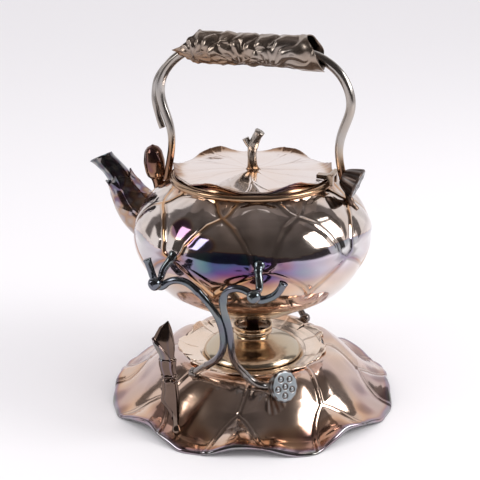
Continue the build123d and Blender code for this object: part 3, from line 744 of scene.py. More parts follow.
def spout_stain(at, angle):
    """Patches of tarnish on the spout: orange and gold at the root, then violet, teal and a dark lip, with
    painted dark reflection on the side that faces the camera.
    """
    wave = np.sin(2 * angle + 9 * at) * 0.5 + np.sin(3 * angle - 14 * at + 1.0) * 0.4
    patch = np.sin(5 * angle + 21 * at + 0.8) * np.sin(31 * at - 3 * angle)
    film = 0.28 + 0.28 * rising(at + 0.08 * wave, 0.38, 0.03) + 0.22 * rising(at + 0.04 * wave, 0.62, 0.03)
    film = film - 0.30 * hump(at - 0.50 + 0.08 * wave, 0.035) + 0.16 * patch
    veil = 0.80 - 0.45 * rising(patch, 0.35, 0.1) + 0 * at
    # Painted shade: the upper spout is darkened on the side that faces the camera, as the dark room's
    # reflection.
    dark = rising(np.cos(angle + 0.9), 0.35, 0.15) * rising(at, 0.55, 0.05)
    grime_and_shade = 0.06 + 0.50 * dark + 0.16 * rising(-patch, 0.3, 0.1) + 0.22 * rising(at, 0.80, 0.05) * (1 - dark)
    return np.clip(film, 0, 1), np.clip(veil, 0, 1), np.clip(grime_and_shade, 0, 0.7)


def spout():
    """A tapering tube with a slanting mouth, its lip turned a little outwards and its wall open.

    Shallow flutes run its length, and the inner wall follows the outer one at the plate's
    thickness.
    """
    count, rows = 128, 90
    angle = np.arange(count) * TAU / count
    end = mouth_share(angle, -0.2)
    share = np.linspace(0, 1, rows)[:, None]
    at = 0.10 + (end - 0.10) * share
    turn = np.broadcast_to(angle, at.shape)
    flute = 0.40 * np.cos(5 * turn + 2 * share) * np.clip(share * 2, 0, 1) * np.clip((1 - share) * 6, 0, 1)
    dents = 0.30 * np.sin(3 * turn + 9 * share) * np.clip((1 - share) * 6, 0, 1)
    flare = 0.5 * np.clip((share - 0.93) / 0.07, 0, 1) ** 2
    outside = spout_points(at, turn, flute + dents + flare - 0.6)
    inside = spout_points(at, turn, flute + dents + flare - 1.7)
    tube = hoop("spout_tube", np.concatenate([outside, inside[::-1]]))
    return toned(tube, *both_faces(spout_stain(at, turn)))


def spout_sheath():
    """Pointed leaves that wrap the root of the spout: a sleeve whose upper edge rises to points.

    Each leaf has a raised midrib and a turned-out edge, and overlaps the next.
    """
    count, rows = 220, 66
    angle = np.arange(count) * TAU / count
    leaf = np.abs(((angle * 4 / TAU + 0.30) % 1) - 0.5) * 2
    top = 0.555 + 0.07 * (1 - leaf) ** 0.8 - 0.02 * np.cos(angle)
    grow = np.linspace(0.0, 1, rows)[:, None]
    at = 0.06 + grow * (top - 0.06)
    turn = np.broadcast_to(angle, at.shape)
    rib = 0.6 * hump(leaf, 0.10) + 0.7 * hump(1 - leaf, 0.18) * grow
    fold = 0.5 * hump(np.sin(2.0 * turn + 12 * at), 0.3) * grow
    curl = 1.0 * np.clip((grow - 0.86) / 0.14, 0, 1) ** 2
    face = spout_points(at, turn, 0.6 + rib + fold + curl)
    back = spout_points(at, turn, -0.45 + curl)
    sleeve = hoop("spout_leaf_sheath", np.concatenate([face, back[::-1]]))
    film, veil, grime_and_shade = spout_stain(at, turn)
    film = film + 0.10 * np.sin(4 * turn + 1.0) * grow
    grime_and_shade = grime_and_shade + 0.3 * hump(1 - grow, 0.05)
    return toned(sleeve, *both_faces((np.clip(film, 0, 1), veil, np.clip(grime_and_shade, 0, 0.7))))


BUD_FOOT, BUD_TALL, BUD_R = (-82.7, 0, 177.0), 27.4, 8.6
BUD_RISE = [0, 0.05, 0.2, 0.5, 0.8, 0.93, 1.0]
BUD_SHARE = [0.62, 0.84, 0.97, 1.0, 0.83, 0.56, 0.03]


def bud():
    """A closed bud: an egg shape whose petals overlap in a spiral, blunt above and low on its stalk.

    Its radius is the smoothed outline plus a saw-tooth step for each of the three petals.
    """
    share = np.linspace(0, 1, 70)
    smooth = np.hanning(9)[1:-1] / np.hanning(9).sum()
    half = np.pad(BUD_R * np.interp(share, BUD_RISE, BUD_SHARE), 3, mode="edge")
    half = np.convolve(half, smooth, mode="valid")[:, None]
    share = share[:, None]
    angle = circle(112)
    petal = (angle * 3 / TAU + 0.45 * share) % 1
    step = 0.9 * (petal - 0.5) * np.sin(np.pi * share)
    lean = np.radians(-6)
    points = swept(half + step - 0.2, angle, share * BUD_TALL)
    points = aimed(points, BUD_FOOT, (np.sin(lean), 0, np.cos(lean)), (0, 1, 0))
    body = skin("bud_petals", points)
    rise = share + 0.10 * np.sin(angle * 3)
    film = 0.27 + 0.12 * rising(rise, 0.30, 0.06) + 0.05 * np.sin(5 * angle + 9 * rise)
    seam = hump(petal, 0.10) + hump(1 - petal, 0.06)
    grime_and_shade = 0.20 + 0.42 * rising(rise, 0.40, 0.10) + 0.25 * seam
    toned(body, film, 0.9, np.clip(grime_and_shade, 0, 0.85))
    stalk = smooth_path([(-79.0, 0, 164.0), (-80.6, 0, 170.0), (-82.3, 0, 179.5)], 24)
    run = np.linspace(0, 1, 24)
    swell = 5.6 - 1.2 * np.sin(np.pi * run) + 0.6 * run ** 3
    stem = skin("bud_stalk", tube_rings(stalk, swell, (0, 1, 0), 24))
    toned(stem, 0.30, 0.9, 0.35)
    return joined("lotus_bud", [body, stem])


POD_R, POD_NECK, POD_DEEP = 12.2, 5.0, 14.0
SEED_R, SEED_START, SEED_RING = 1.9, 0.7, 6.8


def pod_points(count=120):
    """A seed pod about its own axis: a ribbed cup, a rolled edge and a face sunk at each seed.

    The cup widens as a power of the height, and twelve ribs fade in towards the edge. With the
    points comes their darkening: dark walls, a clean face, and a dark ring round every seed.
    """
    share = np.linspace(0, 1, 30)
    cup_r = POD_NECK + (POD_R - POD_NECK) * share ** 0.62
    cup_z = (POD_DEEP - 1.5) * share
    turn = np.linspace(-0.2, 1.0, 9) * np.pi / 2
    edge_r = POD_R - 1.3 + 1.3 * np.cos(turn)
    edge_z = POD_DEEP - 1.4 + 1.4 * np.sin(turn)
    face_r = np.linspace(POD_R - 1.5, 0.4, 60)
    face_z = POD_DEEP + 0.4 * (1 - (face_r / POD_R) ** 2)
    r = np.concatenate([cup_r, edge_r, face_r])
    z = np.concatenate([cup_z, edge_z, face_z])
    angle = circle(count)
    row = np.arange(len(r))[:, None]
    wall, flat = row < len(share), row >= len(share) + len(turn)
    rib = 0.35 * np.cos(12 * angle) * np.clip(z[:, None] / POD_DEEP, 0, 1) * wall
    x, y, level = np.moveaxis(swept(r[:, None] + rib, angle, z[:, None]), -1, 0)
    grime_and_shade = np.where(flat, 0.05, 0.50 + 0.2 * np.cos(12 * angle))
    for sx, sy in seed_places():
        away = np.hypot(x - sx, y - sy)
        level = level - flat * 0.35 * hump(away - SEED_R - 0.3, 0.45)
        grime_and_shade = grime_and_shade + flat * 0.75 * hump(away - SEED_R - 0.3, 0.55)
    return np.stack([x, y, level], -1), np.clip(grime_and_shade, 0, 0.85)


def seed_places():
    """The middle of the face, and five places on a ring round it."""
    turn = np.arange(5) * TAU / 5 + SEED_START
    ring = SEED_RING * np.stack([np.cos(turn), np.sin(turn)], -1)
    return np.concatenate([[(0.0, 0.0)], ring])


def seed_points(sx, sy):
    """One seed: a low dome that lies almost flush in its cup, with a small pit at its tip."""
    share = np.linspace(0, 1, 12)
    r = SEED_R * np.cos(share * np.pi / 2) + 0.02
    z = POD_DEEP - 0.2 + 1.0 * np.sin(share * np.pi / 2) - 0.35 * hump(r, 0.5)
    points = turned(np.stack([r, z], -1), 24)
    return points + np.array((sx, sy, 0.0))


def seed_pod(name, origin, axis, half_turned=False, dull=0.0):
    """A pod and, as a second piece, its six seeds, both lying along axis from origin."""
    flip = np.array((-1, -1, 1)) if half_turned else 1
    points, grime_and_shade = pod_points()
    cup = skin(name, aimed(points, origin, axis) * flip)
    toned(cup, 0.86, 0.25, np.clip(1.5 * grime_and_shade + dull, 0, 0.95))
    seeds = joined(name + "_seeds", [skin(name + "_seed", aimed(seed_points(*at), origin, axis) * flip)
                                     for at in seed_places()])
    return cup, toned(seeds, 0.86, 0.25, 0.30 + dull)


def heel_stalk():
    """The short stalk of the pod at the hinge side: a round bar with a wavy bark."""
    path = smooth_path([(84.5, 0, 166.0), (80.5, 0, 171.0), (77.8, 0, 178.5), (77.0, 0, 186.5)], 30)
    bark = 1 + 0.06 * np.sin(np.linspace(0, 19, 30))
    return toned(skin("heel_pod_stalk", tube_rings(path, 2.8 * bark, (0, 1, 0), 24)), 0.34, 0.8, 0.45)


SPOUT_UPRIGHT = [(-73.6, 176.0), (-70.9, 190.0), (-68.8, 202.0), (-68.6, 214.0), (-71.0, 225.0),
                 (-75.0, 236.0), (-77.4, 247.0), (-75.9, 258.0), (-70.0, 268.5), (-61.0, 277.0),
                 (-50.0, 283.0), (-36.0, 285.8)]
HINGE_UPRIGHT = [(36.0, 285.8), (50.0, 283.0), (62.0, 276.8), (70.8, 268.0), (76.2, 257.0), (77.4, 246.0),
                 (74.6, 235.0), (71.0, 224.0), (69.5, 213.0), (70.6, 202.0), (73.4, 190.0)]
FEET_BELOW, FEET_FADE = 236, 34


def handle_rod():
    """A twig of silver from the spout side over the top to the hinge side.

    It is a round bar, slimmer at its two feet and faintly grooved along.
    """
    path = smooth_path([(x, 0, z) for x, z in SPOUT_UPRIGHT + HINGE_UPRIGHT], 420)
    angle = circle(48)
    run = np.linspace(0, 1, 420)[:, None]
    foot = np.clip((FEET_BELOW - path[:, 2:]) / FEET_FADE, 0, 1)
    slim = 0.75 * foot * foot * (3 - 2 * foot)
    grain = 0.10 * np.sin(5 * angle + 30 * run) + 0.12 * np.sin(2 * angle - 17 * run)
    return skin("handle_twig_bar", tube_rings(path, ROD_R - 0.1 - slim + grain, (0, 1, 0), 48))


def side_twig():
    """The second strand beside the spout upright, ending in a cut face."""
    path = smooth_path([(-67.0, 0.4, 273.0), (-76.4, 0.6, 264.0), (-81.6, 0.8, 253.0), (-82.6, 0.8, 242.0),
                        (-80.6, 0.6, 231.0), (-76.4, 0.2, 218.6)], 90)
    swell = 2.5 + 0.10 * np.sin(np.linspace(0, 22, 90))[:, None]
    return skin("handle_side_twig", tube_rings(path, swell, (0, 1, 0), 28))


# The grip: half thickness at stations along it, and where its two ends lie at each angle of the roll
GRIP_Z, GRIP_TOP, GRIP_SHEET = 285.4, 299.3, 0.8
GRIP_X = np.array([-66.0, -58.0, -48.0, -36.0, -10.0, 16.0, 40.0, 52.0, 60.0])
GRIP_HALF = np.array([5.6, 8.2, 11.2, 12.2, 12.0, 11.8, 12.4, 12.8, 13.2])
GRIP_TURN = np.array([-170, -90, 0, 90, 130, 155, 180, 207, 230, 255])
GRIP_LEFT = np.array([-46, -46, -46, -43.5, -47, -51, -57, -64, -57, -44.0])
GRIP_RIGHT = np.array([55, 56, 52, 43.0, 46, 50, 54, 55.5, 57, 58.0])
GRIP_NODES = ((-8.0, 2.0, 0.2), (14.0, 1.5, 0.9), (-44.0, 9.0, 0.5))


def grip_lines(x, run):
    """Distance in mm from the nearest vein: rays that fan out 30 degrees apart from three nodes."""
    nearest = np.full(np.broadcast(x, run).shape, 99.0)
    for node_x, node_run, start in GRIP_NODES:
        bearing = np.arctan2(run - node_run, x - node_x)
        reach = np.hypot(run - node_run, x - node_x)
        pitch = np.radians(30)
        off = (bearing - start + 0.12 * np.sin(reach / 4) + pitch / 2) % pitch - pitch / 2
        nearest = np.minimum(nearest, np.abs(off) * reach + np.clip(reach - 30, 0, None) * 0.25)
    return nearest


def grip():
    """A lotus leaf rolled round the bar: a sheet wound a little over one turn and crumpled.

    The free edge lies below on the front. Both ends are cut aslant, so that the spout end runs
    out to a folded point and the hinge end shows the dark inside. Veins fan out from nodes near
    the edge, with puffs between them.
    """
    rows, cols = 300, 300
    u = np.linspace(0, 1, rows)[:, None]
    degrees = np.linspace(-170, 255, cols)[None, :]
    angle = np.radians(degrees)
    left = np.interp(degrees, GRIP_TURN, GRIP_LEFT) + 0.5 * np.sin(7 * angle)
    right = np.interp(degrees, GRIP_TURN, GRIP_RIGHT) + 0.5 * np.sin(5 * angle + 1)
    x = left + (right - left) * u
    base = natural_curve(GRIP_X, GRIP_HALF, np.clip(x, -66, 60).ravel()).reshape(x.shape)
    run = np.radians(255 - degrees) * 12
    line = grip_lines(x, run + 0 * x)
    outside = rising(degrees, 40, 12)
    puff = (1.5 * (1 - np.exp(-(line / 2.6) ** 1.6)) - 0.9) * outside
    crush = 0.55 * ripple(x, run, 0, 3.4, 1.7) + 0.35 * ripple(x, run, 4, 1.9, 0.6)
    wind = 1.3 * (degrees + 170) / 425 - 0.9
    hem = 0.8 * hump(255 - degrees, 3.5) + 0.6 * hump(u, 0.012) + 0.5 * hump(1 - u, 0.008)
    outer = base + wind + puff + crush * (0.4 + 0.6 * outside) + hem
    room = GRIP_TOP - GRIP_Z
    outer = np.where(outer > room - 0.8, room - 0.8 * np.exp(-(outer - room + 0.8) / 0.8), outer)
    grids = [np.stack([x, radius * np.cos(angle), GRIP_Z + radius * np.sin(angle)], -1)
             for radius in (outer, outer - GRIP_SHEET)]
    leaf = sheet("grip_lotus_leaf", *grids)
    below = rising(degrees - 0.4 * x, 215, 14)
    film = 0.10 + 0.26 * below * rising(-x, 15, 10) + 0.08 * ripple(x, run, 0, 11, 2.0)
    veil = 0.55 + 0.3 * below
    grime_and_shade = 0.30 * hump(line, 0.9) * outside + 0.55 * rising(-degrees, -60, 10) + 0.10 * np.abs(crush)
    fields = [np.stack([np.clip(field + 0 * x, 0, 0.9)] * 2) for field in (film, veil, grime_and_shade)]
    fields[2][1] = 0.8
    return toned(leaf, *fields)


# =================================================================== lid

LID_WAVES, LID_PHASE, LID_RISE = 6, -100.0, 6.0
BEZEL_OUT, BEZEL_IN, BEZEL_DEEP = 58.0, 56.7, 8.0


def lid_height(radius, azimuth):
    """Height of the leaf's underside: a faint crown, and lobes whose edges curl up steeply."""
    share = radius / LID_R
    swell = (0.5 + 0.5 * np.cos(LID_WAVES * np.radians(azimuth - LID_PHASE))) ** 1.5
    wave = 0.16 * np.cos(np.radians(azimuth * 2 + 40)) * share ** 4
    return LID_LOW + 1.6 * np.clip(1 - share ** 2, 0, 1) + LID_RISE * swell * share ** 13 + wave + 0.2


def lid_leaf():
    """The lid as one lotus leaf: veins radiate from the middle and fork near the waving edge.

    The top lies a sheet above the underside, plus veins, puffs between them and a ridge in front.
    """
    azimuth = azimuths(480)
    angle = np.radians(azimuth)
    notch = 1.4 * np.abs(np.sin(np.radians((azimuth - LID_PHASE) * LID_WAVES / 2))) ** 6
    edge = LID_R - 0.2 - notch + 0.3 * np.sin(17 * angle)
    share = np.linspace(0.03, 1, 110)[:, None] ** 0.8
    r = share * edge
    x, y = r * np.cos(angle), r * np.sin(angle)
    pitch = 360 / 12
    main = np.abs((azimuth - LID_PHASE + 4 * np.sin(r / 13) + pitch / 2) % pitch - pitch / 2)
    fork = np.abs(main - pitch / 3.2 * np.clip((share - 0.5) / 0.5, 0, 1))
    vein = 0.35 * hump(np.radians(main) * r, 0.9) * (share > 0.1)
    vein = vein + 0.25 * hump(np.radians(fork) * r, 0.7) * np.clip((share - 0.52) * 12, 0, 1)
    puff = 0.35 * np.sin(np.radians(main) * 6) ** 2 * share ** 2 + 0.35 * ripple(x, y, 0, 8, 4)
    front = hump(degrees_from(azimuth, -92), 9.0) * np.clip(share * 3, 0, 1) * rising(58 - r, 0, 1.5)
    lip = -0.5 * hump(edge - r, 0.7)
    face = swept(r, angle, lid_height(r, azimuth) + LID_SHEET - 0.3 + vein + puff + lip + 2.2 * front)
    back_r = np.linspace(1, 0.03, 40)[:, None] * edge
    back = swept(back_r, angle, lid_height(back_r, azimuth) + 0.1)
    leaf = skin("lid_lotus_leaf", np.concatenate([face, back]))
    swell = 0.5 + 0.5 * np.cos(LID_WAVES * np.radians(azimuth - LID_PHASE))
    cloud = ripple(x, y, 0, 13, 1.0)
    rim = rising(r - edge, -5.5 - 2 * cloud, 1.2) * rising(swell, 0.30, 0.08)
    film = 0.07 + 0.04 * cloud + 0.25 * rim + 0.10 * front
    veil = 0.55 + 0.35 * rim
    grime_and_shade = 0.45 * rim + 0.30 * front + 0.18 * rising(r - edge, -2.0, 0.6) + 0.06 * vein
    under = 0.30 + 0.42 * (0.5 + 0.5 * np.sin(5 * angle + back_r / 9))
    return toned(leaf, *[np.clip(np.concatenate([above, below + 0 * back_r]), 0, 0.85)
                         for above, below in ((film, under), (veil, 0.9), (grime_and_shade, 0.15))])


def lid_bezel():
    """The ring below the lid, whose top follows the underside of the leaf."""
    azimuth = np.arange(240) * 360 / 240
    low = LID_LOW - BEZEL_DEEP
    corners = [(r, z) for r, z in ((BEZEL_OUT, low), (BEZEL_OUT, lid_height(BEZEL_OUT, azimuth) + 0.05),
                                   (BEZEL_IN, lid_height(BEZEL_IN, azimuth) + 0.05), (BEZEL_IN, low))]
    return hoop("lid_bezel_ring", np.stack([swept(r, np.radians(azimuth), z) for r, z in corners]))


def lid_knob():
    """A cut twig on a spread root: a bent bar with a short side stub and flat cut ends."""
    low = LID_LOW + 2.2
    path = smooth_path([(0, 0, low - 0.6), (-0.4, 0, low + 9), (-0.2, 0, low + 17), (2.4, -0.4, low + 24.5),
                        (6.2, -0.8, low + 31.2)], 120)
    rise = (path[:, 2] - low)[:, None]
    angle = circle(44)
    root = 3.0 * np.exp(-np.clip(rise, 0, None) / 1.5) * (1 + 0.25 * np.cos(5 * angle))
    knuckle = 0.5 * hump(rise - 19.5, 2.6) + 0.5 * hump(rise - 31, 1.6)
    bark = 0.16 * np.sin(4 * angle + rise / 3) + 0.10 * np.sin(7 * angle - rise / 2)
    bar = skin("knob_twig", tube_rings(path, 3.6 + root + knuckle + bark, (0, 1, 0), 44))
    stub_path = smooth_path([(0.0, 0, low + 17.5), (-3.2, -0.4, low + 20.6), (-5.6, -0.8, low + 25.0)], 30)
    flare = 2.5 + 0.3 * np.linspace(0, 1, 30)[:, None] ** 4
    stub = skin("knob_stub", tube_rings(stub_path, flare, (0, 1, 0), 28))
    pith_path = np.array([(6.25, -0.8, low + 31.3), (6.35, -0.8, low + 31.6)])
    pith = skin("knob_pith", tube_rings(pith_path, 1.1, (0, 1, 0), 20))
    return joined("lid_knob_twig", [bar, stub, pith])


# =================================================================== stand

def mirror_turn(points, turned_half):
    """The points as they are, or given a half turn round the upright axis: (-x, -y, z)."""
    return points * np.array((-1, -1, 1)) if turned_half else points


def stem(name, corners, half_turned, swellings):
    """A twig of the stand along its corners, with faint joints where side shoots were cut."""
    path = smooth_path(corners, 300)
    run = np.linspace(0, 1, 300)[:, None]
    angle = circle(36)
    joint = sum(0.35 * hump(run - at, 0.014) for at in swellings)
    bark = 0.05 * np.sin(3 * angle + 26 * run) + 0.05 * np.sin(5 * angle - 43 * run)
    ends = 0.5 * hump(run, 0.010) + 0.2 * hump(1 - run, 0.010)
    rings = tube_rings(path, STEM_R - 0.25 + joint + bark + ends, (0.05, 1, 0.08), 36)
    return skin(name, mirror_turn(rings, half_turned))


# The paths of the front stems from the tip of the crook down to the base; the dip is at CROOK_X
FOOT_STEM = [(-48.0, -99, 144.9), (-44.9, -99, 136.6), (-42.4, -99, 129.4), (-38.0, -99, 124.6),
             (-32.8, -99, 127.9), (-26.4, -99, 131.0), (-18.4, -99, 130.8), (-9.8, -99, 125.9),
             (-1.4, -99, 117.9), (5.2, -98.5, 109.2), (8.6, -96.7, 99.5), (9.2, -93.4, 88.5),
             (7.0, -89.2, 76.6), (0.6, -84.2, 65.4), (-9.4, -77.6, 55.6), (-18.6, -71.4, 47.6),
             (-26.0, -66.0, 40.4)]
POD_STEM = [(57.2, -99, 139.6), (52.6, -99, 131.4), (46.0, -99, 126.4), (38.0, -99, 124.6),
            (31.0, -99, 128.9), (22.8, -99, 131.0), (15.4, -99, 128.4), (11.6, -99, 121.0),
            (11.8, -98, 110.5), (13.6, -95.4, 99.5), (14.2, -91.8, 87.5), (13.4, -87.6, 77.0),
            (12.6, -82.6, 67.6), (13.8, -76.4, 58.0), (18.6, -71.4, 48.6), (26.0, -68.6, 41.6),
            (34.5, -68.2, 40.4), (43.0, -70.9, 43.4)]
KNUCKLE = [(0.05, -4.0), (2.6, -3.6), (4.2, -1.6), (4.6, 0.4), (3.9, 2.6), (2.2, 3.9), (0.05, 4.3)]
KNUCKLE_AT = np.array((-26.0, -66.0, 40.6))
BALL = [(0.05, -5.0), (2.9, -4.7), (5.0, -2.2), (5.2, 0.6), (4.0, 3.6), (1.7, 4.7), (0.05, 4.9)]


def foot_stem(half_turned, side):
    """The stem that ends in a knuckled foot, soldered to the base."""
    bar = stem("foot_bar_" + side, FOOT_STEM, half_turned, (0.16, 0.34, 0.86))
    knob = turned(KNUCKLE, 32)
    lump = 1 + 0.10 * ripple(knob[..., 0] * 9, knob[..., 1] * 9, knob[..., 2] * 9, 9, 2.0)
    foot = skin("foot_knuckle_" + side, mirror_turn(knob * lump[..., None] + KNUCKLE_AT, half_turned))
    return joined("foot_stem_twig_" + side, [bar, foot])


def pod_stem(half_turned, side):
    """The stem that ends in a seed pod."""
    return stem("pod_stem_twig_" + side, POD_STEM, half_turned, (0.14, 0.36, 0.83))


def journal(node, side_x, side_y):
    """A ball-ended twig that leaves the belly, arches over the crook and rests in its dip."""
    z = JOURNAL_Z
    root_x = 31.0 if side_x == side_y else 34.5
    corners = [(root_x, 82.0, 147.5), (0.5 * root_x + 18.0, 90.0, 142.2), (CROOK_X - 0.6, 94.0, 135.5),
               (CROOK_X, 97.2, z + 0.6), (CROOK_X, 102.0, z), (CROOK_X, 107.0, z)]
    path = smooth_path(np.array(corners) * (side_x, side_y, 1), 90)
    run = np.linspace(0, 1, 90)[:, None]
    flare = 0.5 * hump(run - 0.28, 0.05) + 1.7 * hump(run - 0.13, 0.08)
    radius = 2.9 - 0.55 * np.clip((run - 0.6) / 0.15, 0, 1) + flare
    bar = skin("journal_bar", tube_rings(path, radius, (1, 0, 0), 28))
    centre = np.array((side_x * CROOK_X, side_y * BALL_Y, z))
    ball_points = aimed(turned(rounded_profile(BALL, 40), 40), centre, (0, side_y, 0))
    pinch = 1 + 0.03 * np.sin(np.arange(40) * TAU / 40 * 3)[None, :, None]
    ball = skin("journal_ball", centre + (ball_points - centre) * pinch)
    return joined(node + "_twig", [bar, ball])


def base_underside(r, azimuth):
    """The plain form of the base: a dome that falls to a flange with a waving rim."""
    share = np.clip((r - BASE_TOP_R) / (BASE_R - 6 - BASE_TOP_R), 0, 1)
    ease = share * share * (3 - 2 * share)
    dome = BASE_TOP_Z + (BASE_RIM_Z - BASE_SHEET - BASE_TOP_Z) * ease
    swell = 0.5 + 0.5 * np.cos(BASE_WAVES * np.radians(azimuth - BASE_PHASE))
    reach = np.clip((r - 72.0) / (BASE_R - 72.0), 0, None) ** 2
    return dome - 5.2 * reach + 8.6 * swell * reach


def base_lines(r, azimuth):
    """Distance in mm from the nearest vein of the base.

    Eight main veins leave the dish, lean as they go out, and fork on the slope into two that
    reach the rim on each side of a raised lobe.
    """
    pitch = 360 / BASE_WAVES
    lean = 1.2 * np.sin(np.radians(azimuth) * 3 + 1.0) - 6.0 * np.clip((r - 66) / 22, 0, 1)
    offset = (azimuth - lean - (BASE_PHASE + 1) + pitch / 2) % pitch - pitch / 2
    split = np.interp(r, [88, 92, 97, 104, 112, 120], [0.0, 4.0, 7.2, 9.6, 11.0, 12.0])
    to_mm = np.radians(r)
    main = np.where(r < 88, np.abs(offset) * to_mm, 99.0)
    beside = np.abs(np.abs(offset) - split) * to_mm * 0.92
    return main, np.where(r >= 84, np.hypot(beside, np.maximum(88 - r, 0)), 99.0)


def base_relief(r, azimuth):
    """Height of veins and pillows over the plain base, in mm: the leaf is puffed between veins."""
    main, fork = base_lines(r, azimuth)
    nearest = np.minimum(main, fork)
    start = np.clip((r - 57) / 12, 0, 1)
    close = 1 - 0.75 * np.clip((r - 108) / 10, 0, 1)
    pillow = 3.4 * (1 - np.exp(-(nearest / 8.5) ** 1.5)) * start * close
    crest = (1.5 * hump(main, 1.5) + 1.0 * hump(fork, 1.2)) * start * (0.55 + 0.45 * close)
    angle = np.radians(azimuth)
    creases = 0.30 * ripple(r * np.cos(angle), r * np.sin(angle), 0, 11, 2.6)
    return pillow + crest + creases * start


def base_stain(r, azimuth, edge):
    """Tarnish of the base: champagne above, copper and plum towards the rim, a blue-grey lip."""
    main, fork = base_lines(r, azimuth)
    nearest = np.minimum(main, fork)
    x, y = r * np.cos(np.radians(azimuth)), r * np.sin(np.radians(azimuth))
    cloud, fine = ripple(x, y, 0, 15, 0.4), ripple(x, y, 0, 5, 2.9)
    inset = edge - r
    side = 1 - hump(degrees_from(azimuth, -75), 42)
    lip = rising(3.2 + 1.5 * cloud - inset, 0, 0.8)
    outer = rising(17 + 9 * side + 6 * cloud - inset, 0, 2.5)
    film = 0.11 + 0.06 * cloud + outer * (0.14 + 0.10 * fine)
    film = film * (1 - lip) + lip * (0.66 + 0.18 * fine)
    under_dish = rising(66 - r, 0, 1.5)
    film = film + 0.12 * under_dish
    rosy = side * (1 - lip) * rising(cloud + 0.4, 0, 0.2)
    film = film * (1 - rosy) + rosy * (0.43 + 0.04 * fine)
    veil = 0.60 + 0.25 * outer + 0.1 * cloud
    veil = veil * (1 - rosy) + rosy * (0.28 + 0.25 * outer * rising(fine, 0.2, 0.2))
    veil = veil * (1 - lip) + lip * 0.55
    # The dark line along each side of every vein is patina in the hollow and painted shadow of the vein.
    grime_and_shade = 0.55 * hump(nearest - 1.9, 0.8) * rising(r, 62, 2) + 0.12 * np.abs(fine)
    grime_and_shade = grime_and_shade + 0.25 * outer * rising(fine, 0.5, 0.1)
    return np.clip(film, 0, 1), np.clip(veil, 0, 1), np.clip(grime_and_shade, 0, 0.8)


def stand_base():
    """The lotus leaf of the base: veined above, plain and hollow below, flat where it stands.

    Each ring runs out from the hole to the waving edge, and the sheet thins towards it.
    """
    azimuth = azimuths(600)
    angle = np.radians(azimuth)
    edge = BASE_R - BASE_LOBE * np.cos(BASE_WAVES * np.radians(azimuth - BASE_PHASE)) - 0.3
    edge = edge + 0.5 * np.sin(angle * 13) + 0.4 * np.sin(angle * 29 + 1) - 0.9
    r = BASE_HOLE_R + (edge - BASE_HOLE_R) * np.linspace(0, 1, 116)[:, None]
    thin = np.clip((edge - r) / 1.2, 0, 1) ** 0.5
    under = np.maximum(base_underside(r, azimuth), 0)
    top = under + 0.9 + (BASE_SHEET - 1.5) * thin + base_relief(r, azimuth) * (0.35 + 0.65 * thin)
    back_r = BASE_HOLE_R + (edge - BASE_HOLE_R) * np.linspace(1, 0, 30)[:, None]
    back_z = np.maximum(base_underside(back_r, azimuth), 0)
    back_z = back_z + 0.7 * base_relief(back_r, azimuth) * np.clip((edge - back_r) / 8, 0, 1)
    leaf = hoop("base_lotus_leaf", np.concatenate([swept(r, angle, top), swept(back_r, angle, back_z)]))
    stains = base_stain(r, azimuth, edge)
    return toned(leaf, *with_plain_rows(stains, 0, len(back_r), (0.72, 0.55, 0.15)))


# Slits and bites in the pad's edge: azimuth, depth in mm, half width in degrees
DISH_SLITS = ((-141.0, 9.0, 1.2), (-128.0, 13.0, 1.4), (-42.0, 9.0, 1.2), (60.0, 12.0, 1.3),
              (150.0, 10.0, 1.2))
DISH_BITES = ((-134.0, 3.4, 6.0), (-48.0, 3.6, 5.0), (-100.0, 1.6, 9.0), (-20.0, 2.4, 6.0), (25.0, 2.6, 8.0),
              (95.0, 2.2, 7.0), (128.0, 2.8, 6.0), (175.0, 2.0, 8.0))
DISH_FALL = np.array([(41.0, 34.6), (44.0, 36.0), (50.0, 37.3), (56.0, 38.9), (59.4, 40.6), (61.0, 41.4)])
DISH_HOLE_R, DISH_BACK_R = 40.6, 41.8  # where the funnel starts, above and below


def dish_height(r, azimuth):
    """Height of the pad's underside: a shallow funnel whose edge lifts in nine soft waves."""
    wave = 0.9 * np.cos(9 * np.radians(azimuth)) * np.clip((r - 48) / 13, 0, None) ** 2
    return np.interp(r, DISH_FALL[:, 0], DISH_FALL[:, 1]) + wave


def lamp_dish():
    """A lily pad that falls to the lamp as a funnel, its edge torn by slits, with a round well."""
    count = 900
    azimuth = azimuths(count)
    angle = np.radians(azimuth)
    edge = DISH_R + 0.8 * np.cos(9 * angle) + 0.35 * np.sin(23 * angle) + 0.25 * np.sin(41 * angle + 1)
    for cuts, shape in ((DISH_SLITS, 0.6), (DISH_BITES, 0.3)):
        for at, deep, wide in cuts:
            edge = edge - deep * np.clip(1 - np.abs(degrees_from(azimuth, at)) / wide, 0, 1) ** shape
    share = np.linspace(0, 1, 64)[:, None]
    r = DISH_HOLE_R + (edge - DISH_HOLE_R) * share
    vein = 0.25 * hump(np.abs(np.sin(9 * angle / 2 + 0.2)) * r * 2 / 9, 0.9)
    vein = vein * np.clip((share - 0.1) * 4, 0, 1)
    uneven = 0.20 * ripple(r * np.cos(angle), r * np.sin(angle), 0, 7, 1)
    top = dish_height(r, azimuth) + DISH_SHEET + vein - 0.4 * hump(edge - r, 0.6) + uneven
    back_r = DISH_BACK_R + (edge - DISH_BACK_R) * np.linspace(1, 0, 20)[:, None]
    back = swept(back_r, angle, dish_height(back_r, azimuth))
    outside = [(WELL_R + WELL_WALL, 33.0), (WELL_R + 0.6, 26.0), (WELL_R, 24.4), (38.0, WELL_FLOOR_Z),
               (1.0, WELL_FLOOR_Z)]
    inside = [(1.0, 25.2), (37.5, 25.2), (WELL_R - 1.0, 25.6), (WELL_R - 0.1, 27.0), (WELL_R, 34.6)]
    rings = [turned(inside, count), swept(r, angle, top), back, turned(outside, count)]
    return skin("lamp_lily_pad", np.concatenate(rings))


